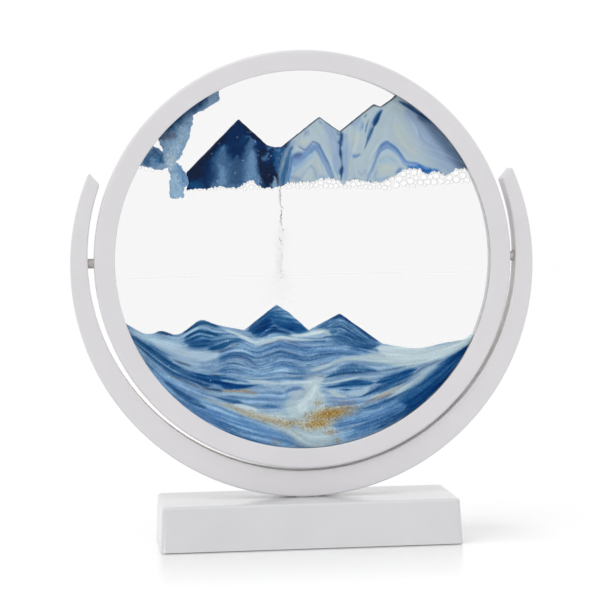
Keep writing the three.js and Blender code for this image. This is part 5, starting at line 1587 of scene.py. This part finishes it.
def packed_bubbles():
    """Bubbles between the raft's lower edge and the sand, as (x, z, radius), packed from the largest down."""
    chance = np.random.default_rng(BUBBLE_SEED)
    radii = np.sort(chance.triangular(*BUBBLE_RADII, BUBBLE_TRIES))[::-1]
    found = [*DRIFT_BUBBLES]
    for radius in radii:
        x = chance.uniform(*RAFT_REACH)
        bottom = height_on(RAFT_BOTTOM, x)
        room = height_on(MOUNTAIN_FOOT, x) + RAFT_OVERLAP - bottom
        z = bottom + radius + chance.uniform(0, max(room - 2 * radius, LEAST_ROOM))
        fits = 2 * radius < BUBBLE_LARGEST * room and math.hypot(x, z) + radius < FILL_RADIUS
        apart = all(math.hypot(x - a, z - b) > BUBBLE_SQUEEZE * (radius + r) for a, b, r in found)
        if fits and apart:
            found.append((x, z, radius))
    return found + frost(found, chance)


def frost(bubbles, chance):
    """Tiny bubbles along the top of the others."""
    x, z, radius = np.array(bubbles).T
    found = []
    for place in np.arange(*RAFT_REACH, FROST_STEP):
        room = np.maximum(radius ** 2 - (x - place) ** 2, 0)
        top = np.where(room > 0, z + np.sqrt(room), 0).max()
        size = chance.uniform(*FROST_RADII)
        height = max(top, height_on(MOUNTAIN_FOOT, place)) + FROST_LIFT * chance.uniform(-1, 1)
        if math.hypot(place, height) + size < FILL_RADIUS:
            found.append((place, height, size))
    return found


def bubbled(foot, bubbles):
    """The foot of the sand, pushed up by the bubbles that reach into it."""
    raised = resampled(foot, BUBBLED_STEP)
    for x, z, radius in bubbles:
        room = (radius + BUBBLE_SKIN) ** 2 - (raised[:, 0] - x) ** 2
        top = z + np.sqrt(np.maximum(room, 0))
        inside = (room > 0) & (top > raised[:, 1])
        raised[inside, 1] = top[inside]
    return raised


def bubble_pieces(bubbles, film, outline):
    """Each bubble is squeezed between the panes, with a fine grey line of painted shade around all but the
    smallest, for the light bent at its edge.
    """
    bodies = bmesh.new()
    rims = bmesh.new()
    for x, z, radius in bubbles:
        depth = min(FILL_HALF_DEPTH - BUBBLE_CLEARANCE, BUBBLE_DEPTH + radius)
        shoulder = (BUBBLE_SHOULDER[0] * radius, -BUBBLE_SHOULDER[1] * depth)
        profile = [(0, -depth), (BUBBLE_FLAT * radius, -depth), shoulder, (radius, 0)]
        profile += [(r, -along) for r, along in reversed(profile[:-1])]
        place = disc_place() @ Matrix.Translation((x * MM, -z * MM, 0))
        body = turned("bubble", profile, BUBBLE_SEGMENTS, place, closed=False)
        ring = [
            (radius - RIM_LINE * (1 - math.cos(turn)), RIM_LINE * math.sin(turn) - depth / 2)
            for turn in np.linspace(0, 2 * math.pi, RIM_SIDES, endpoint=False)
        ]
        parts = [(bodies, body)]
        if radius > RIMMED_FROM:
            parts.append((rims, turned("bubble_rim", ring, BUBBLE_SEGMENTS, place)))
        for whole, part in parts:
            whole.from_mesh(part)
            bpy.data.meshes.remove(part)
    wholes = (("bubbles", bodies, film, ["bubble_raft"]), ("bubble_rims", rims, outline, []))
    for name, whole, material, replaced in wholes:
        mesh = bpy.data.meshes.new(name)
        whole.to_mesh(mesh)
        whole.free()
        piece(mesh, material, "disc", "bubbles", *replaced, flat_faces=False)


# Falling sand

def grains(name, spots, material, *replaced):
    """Loose grains at (x, y, z, radius) spots."""
    bm = bmesh.new()
    for x, y, z, radius in spots:
        place = Matrix.Translation(pivot + Vector((x, y, z)) * MM)
        bmesh.ops.create_icosphere(bm, subdivisions=1, radius=radius * MM, matrix=place)
    mesh = bpy.data.meshes.new(name)
    bm.to_mesh(mesh)
    bm.free()
    piece(mesh, material, "disc", "dark_blue_sand", *replaced, flat_faces=False)


def falling_sand(dark, pale):
    """A thread of grains under the upper sand, which thins out to a faint plume over the first dune."""
    chance = np.random.default_rng(STREAM_SEED)
    thread = []
    for z in np.arange(STREAM_TOP[1], STREAM_FOOT[1], -THREAD_STEP):
        drift = float(value_noise(z, 0, THREAD_SWAY_LENGTH, THREAD_SWAY_SEED))
        sway = THREAD_SWAY * drift + THREAD_SPREAD * chance.normal()
        spot = (STREAM_TOP[0] + sway, THREAD_DEPTH * chance.normal(), z, chance.uniform(*THREAD_RADII))
        if chance.uniform() < (THREAD_SHARE if z > STREAM_BREAK else THREAD_SHARE_BELOW):
            thread.append(spot)
    plume = []
    for share in chance.uniform(0, 1, PLUME_GRAINS):
        z = STREAM_BREAK + share * (STREAM_FOOT[1] - STREAM_BREAK)
        x = STREAM_TOP[0] + share * (STREAM_FOOT[0] - STREAM_TOP[0])
        widened = max(0, share - PLUME_WIDENS_AT) / (1 - PLUME_WIDENS_AT)
        x += (PLUME_SPREAD + PLUME_FOOT_SPREAD * widened) * chance.normal()
        spot = (x, PLUME_DEPTH * chance.normal(), z, chance.uniform(*PLUME_RADII))
        if value_noise(x, z, PLUME_PATCH, PLUME_PATCH_SEED) > PLUME_PATCH_LEVEL:
            plume.append(spot)
    grains("stream_thread", thread, dark, "falling_sand")
    grains("stream_plume", plume, pale)


# Room around the object

def seen_directly(tree):
    """1 for rays from the camera, and for those that gloss or glass sends on."""
    path = add_node(tree, "ShaderNodeLightPath")
    first = combined(tree, path.outputs["Is Camera Ray"], path.outputs["Is Glossy Ray"], "MAXIMUM")
    return combined(tree, first, path.outputs["Is Transmission Ray"], "MAXIMUM")


def make_world():
    world = bpy.data.worlds.new("studio")
    bpy.context.scene.world = world
    world.use_nodes = True
    tree = world.node_tree
    tree.nodes.clear()
    seen = add_node(tree, "ShaderNodeBackground", {"Color": WHITE, "Strength": 1})
    lit = add_node(tree, "ShaderNodeBackground", {"Color": WHITE, "Strength": SKY_FILL})
    mix = add_node(tree, "ShaderNodeMixShader")
    out = add_node(tree, "ShaderNodeOutputWorld")
    tree.links.new(seen_directly(tree), mix.inputs["Fac"])
    tree.links.new(lit.outputs["Background"], mix.inputs[1])
    tree.links.new(seen.outputs["Background"], mix.inputs[2])
    tree.links.new(mix.outputs["Shader"], out.inputs["Surface"])


def floor_material():
    material = bpy.data.materials.new("studio_floor")
    material.use_nodes = True
    tree = material.node_tree
    tree.nodes.clear()
    plain = add_node(tree, "ShaderNodeBsdfDiffuse", {"Color": (FLOOR_BOUNCE, FLOOR_BOUNCE, FLOOR_BOUNCE, 1)})
    shade = add_node(tree, "ShaderNodeBsdfDiffuse", {"Color": (FLOOR_ALBEDO, FLOOR_ALBEDO, FLOOR_ALBEDO, 1)})
    glow = add_node(tree, "ShaderNodeEmission", {"Color": WHITE})
    place = add_node(tree, "ShaderNodeTexCoord")
    reach = add_node(tree, "ShaderNodeVectorMath", operation="LENGTH")
    tree.links.new(place.outputs["Object"], reach.inputs[0])
    fade = ranged(tree, reach.outputs["Value"], FLOOR_GLOW, FLOOR_GLOW_FAR, FLOOR_NEAR * MM, FLOOR_FAR * MM)
    tree.links.new(fade, glow.inputs["Strength"])
    gloss = add_node(tree, "ShaderNodeBsdfGlossy", {"Color": WHITE, "Roughness": FLOOR_GLOSS_ROUGHNESS})
    both = add_node(tree, "ShaderNodeAddShader")
    polished = add_node(tree, "ShaderNodeMixShader")
    axes = add_node(tree, "ShaderNodeSeparateXYZ")
    tree.links.new(place.outputs["Object"], axes.inputs["Vector"])
    front = -BASE_DEPTH / 2
    shine = ranged(tree, axes.outputs["Y"], 0, FLOOR_GLOSS, (front - FLOOR_GLOSS_END) * MM, front * MM)
    tree.links.new(shine, polished.inputs["Fac"])
    mix = add_node(tree, "ShaderNodeMixShader")
    out = add_node(tree, "ShaderNodeOutputMaterial")
    tree.links.new(shade.outputs["BSDF"], both.inputs[0])
    tree.links.new(glow.outputs["Emission"], both.inputs[1])
    tree.links.new(both.outputs["Shader"], polished.inputs[1])
    tree.links.new(gloss.outputs["BSDF"], polished.inputs[2])
    tree.links.new(seen_directly(tree), mix.inputs["Fac"])
    tree.links.new(plain.outputs["BSDF"], mix.inputs[1])
    tree.links.new(polished.outputs["Shader"], mix.inputs[2])
    tree.links.new(mix.outputs["Shader"], out.inputs["Surface"])
    return material


def make_floor():
    half = FLOOR_SIZE / 2 * MM
    mesh = bpy.data.meshes.new("floor")
    corners = [(-half, -half, 0), (half, -half, 0), (half, half, 0), (-half, half, 0)]
    mesh.from_pydata(corners, [], [(0, 1, 2, 3)])
    mesh.materials.append(floor_material())
    obj = bpy.data.objects.new("floor", mesh)
    bpy.context.scene.collection.objects.link(obj)
    return obj


def make_sun(name, strength, spread, source):
    lamp = bpy.data.lights.new(name, "SUN")
    lamp.energy = strength
    lamp.angle = spread
    obj = bpy.data.objects.new(name, lamp)
    bpy.context.scene.collection.objects.link(obj)
    obj.rotation_euler = (-source).to_track_quat("-Z", "Y").to_euler()
    return obj


def light_only(lamp, lit_object, blocking_object):
    """Limits a lamp to one object and its shadow to that of another."""
    lit = bpy.data.collections.new(lamp.name + "_lit")
    lit.objects.link(lit_object)
    lamp.light_linking.receiver_collection = lit
    blocking = bpy.data.collections.new(lamp.name + "_blocked")
    blocking.objects.link(blocking_object)
    lamp.light_linking.blocker_collection = blocking


def make_camera():
    back = Vector((
        -math.sin(CAMERA_YAW) * math.cos(CAMERA_PITCH),
        -math.cos(CAMERA_YAW) * math.cos(CAMERA_PITCH),
        math.sin(CAMERA_PITCH),
    ))
    level = Vector((math.cos(CAMERA_YAW), -math.sin(CAMERA_YAW), 0))
    upright = back.cross(level)
    right = level * math.cos(CAMERA_ROLL) + upright * math.sin(CAMERA_ROLL)
    up = upright * math.cos(CAMERA_ROLL) - level * math.sin(CAMERA_ROLL)
    camera = bpy.data.cameras.new("camera")
    camera.sensor_fit = "HORIZONTAL"
    camera.sensor_width = SENSOR_WIDTH
    camera.lens = FOCAL_PIXELS * SENSOR_WIDTH / IMAGE_PIXELS
    obj = bpy.data.objects.new("camera", camera)
    bpy.context.scene.collection.objects.link(obj)
    axes = Matrix((right, up, back)).transposed().to_4x4()
    obj.matrix_world = Matrix.Translation((CAMERA_TARGET + back * CAMERA_DISTANCE) * MM) @ axes
    bpy.context.scene.camera = obj


# Assembly

bpy.context.scene.view_settings.view_transform = "Standard"
bpy.context.scene.cycles.transparent_max_bounces = CLEAR_BOUNCES
make_camera()
make_world()
make_sun("key_light", KEY_STRENGTH, KEY_SPREAD, KEY_FROM)
floor = make_floor()

plastics = {name: moulded(name, *look) for name, look in MOULDED.items()}
steel = turned_steel()
# The bubble film carries a faint painted glow, so that the froth looks whiter than the liquid
bubble_film = clear("bubble_film", (1, 1, 1), index=1.1, roughness=0.05, painted_glow=0.035, shine_inside=True)
# Painted shade: a faint grey film on thin rims around the bubbles, for the light bent at their edges
bubble_edge_shade = faint("bubble_edge_shade", (156, 154, 156), cover=0.1)
pane_glass = clear("pane_glass", (0.98, 0.98, 0.98), index=1.08, roughness=0.03)
liquid = clear("liquid", (1, 1, 1), index=1.001, roughness=0.05)

ring_half("front_ring", -1, APERTURE_RADIUS, plastics["white_plastic"], "front_bezel")
ring_half("rear_ring", 1, REAR_APERTURE_RADIUS, plastics["white_plastic"], "rear_bezel")
pane("front_pane", -1, pane_glass, "front_glass")
pane("rear_pane", 1, pane_glass, "rear_glass")
pin("pin_left", -1, steel, "pivot_pin_left")
pin("pin_right", 1, steel, "pivot_pin_right")
cradle_arc(plastics["white_plastic"])
arc_tenon(plastics["white_plastic"])
base = base_block(plastics["base_plastic"])
for lamp in SHADOW_LAMPS:
    light_only(make_sun(*lamp), floor, base)

bubbles = packed_bubbles()
bubble_pieces(bubbles, bubble_film, bubble_edge_shade)
falling_sand(plastics["stream_dark"], plastics["stream_pale"])
upper_sand(painted_sand("mountain_sand"), bubbles)
sand_drift(painted_sand("drift_sand"))
lower_sand(painted_sand("dune_sand"))

dress(plastics["plate_plastic"], "base_bottom_plate")
for corner in CORNERS:
    dress(plastics["rubber"], "foot_" + corner)
    dress(steel, "base_screw_" + corner)
for side in SIDES:
    dress(steel, "arc_screw_" + side)
    dress(plastics["bush_plastic"], "pivot_bush_" + side)
dress(plastics["spacer_plastic"], "spacer_ring")
dress(plastics["silicone"], "edge_seal", "fill_plug")
dress(liquid, "liquid_above", "liquid_below")

bpy.context.view_layer.update()
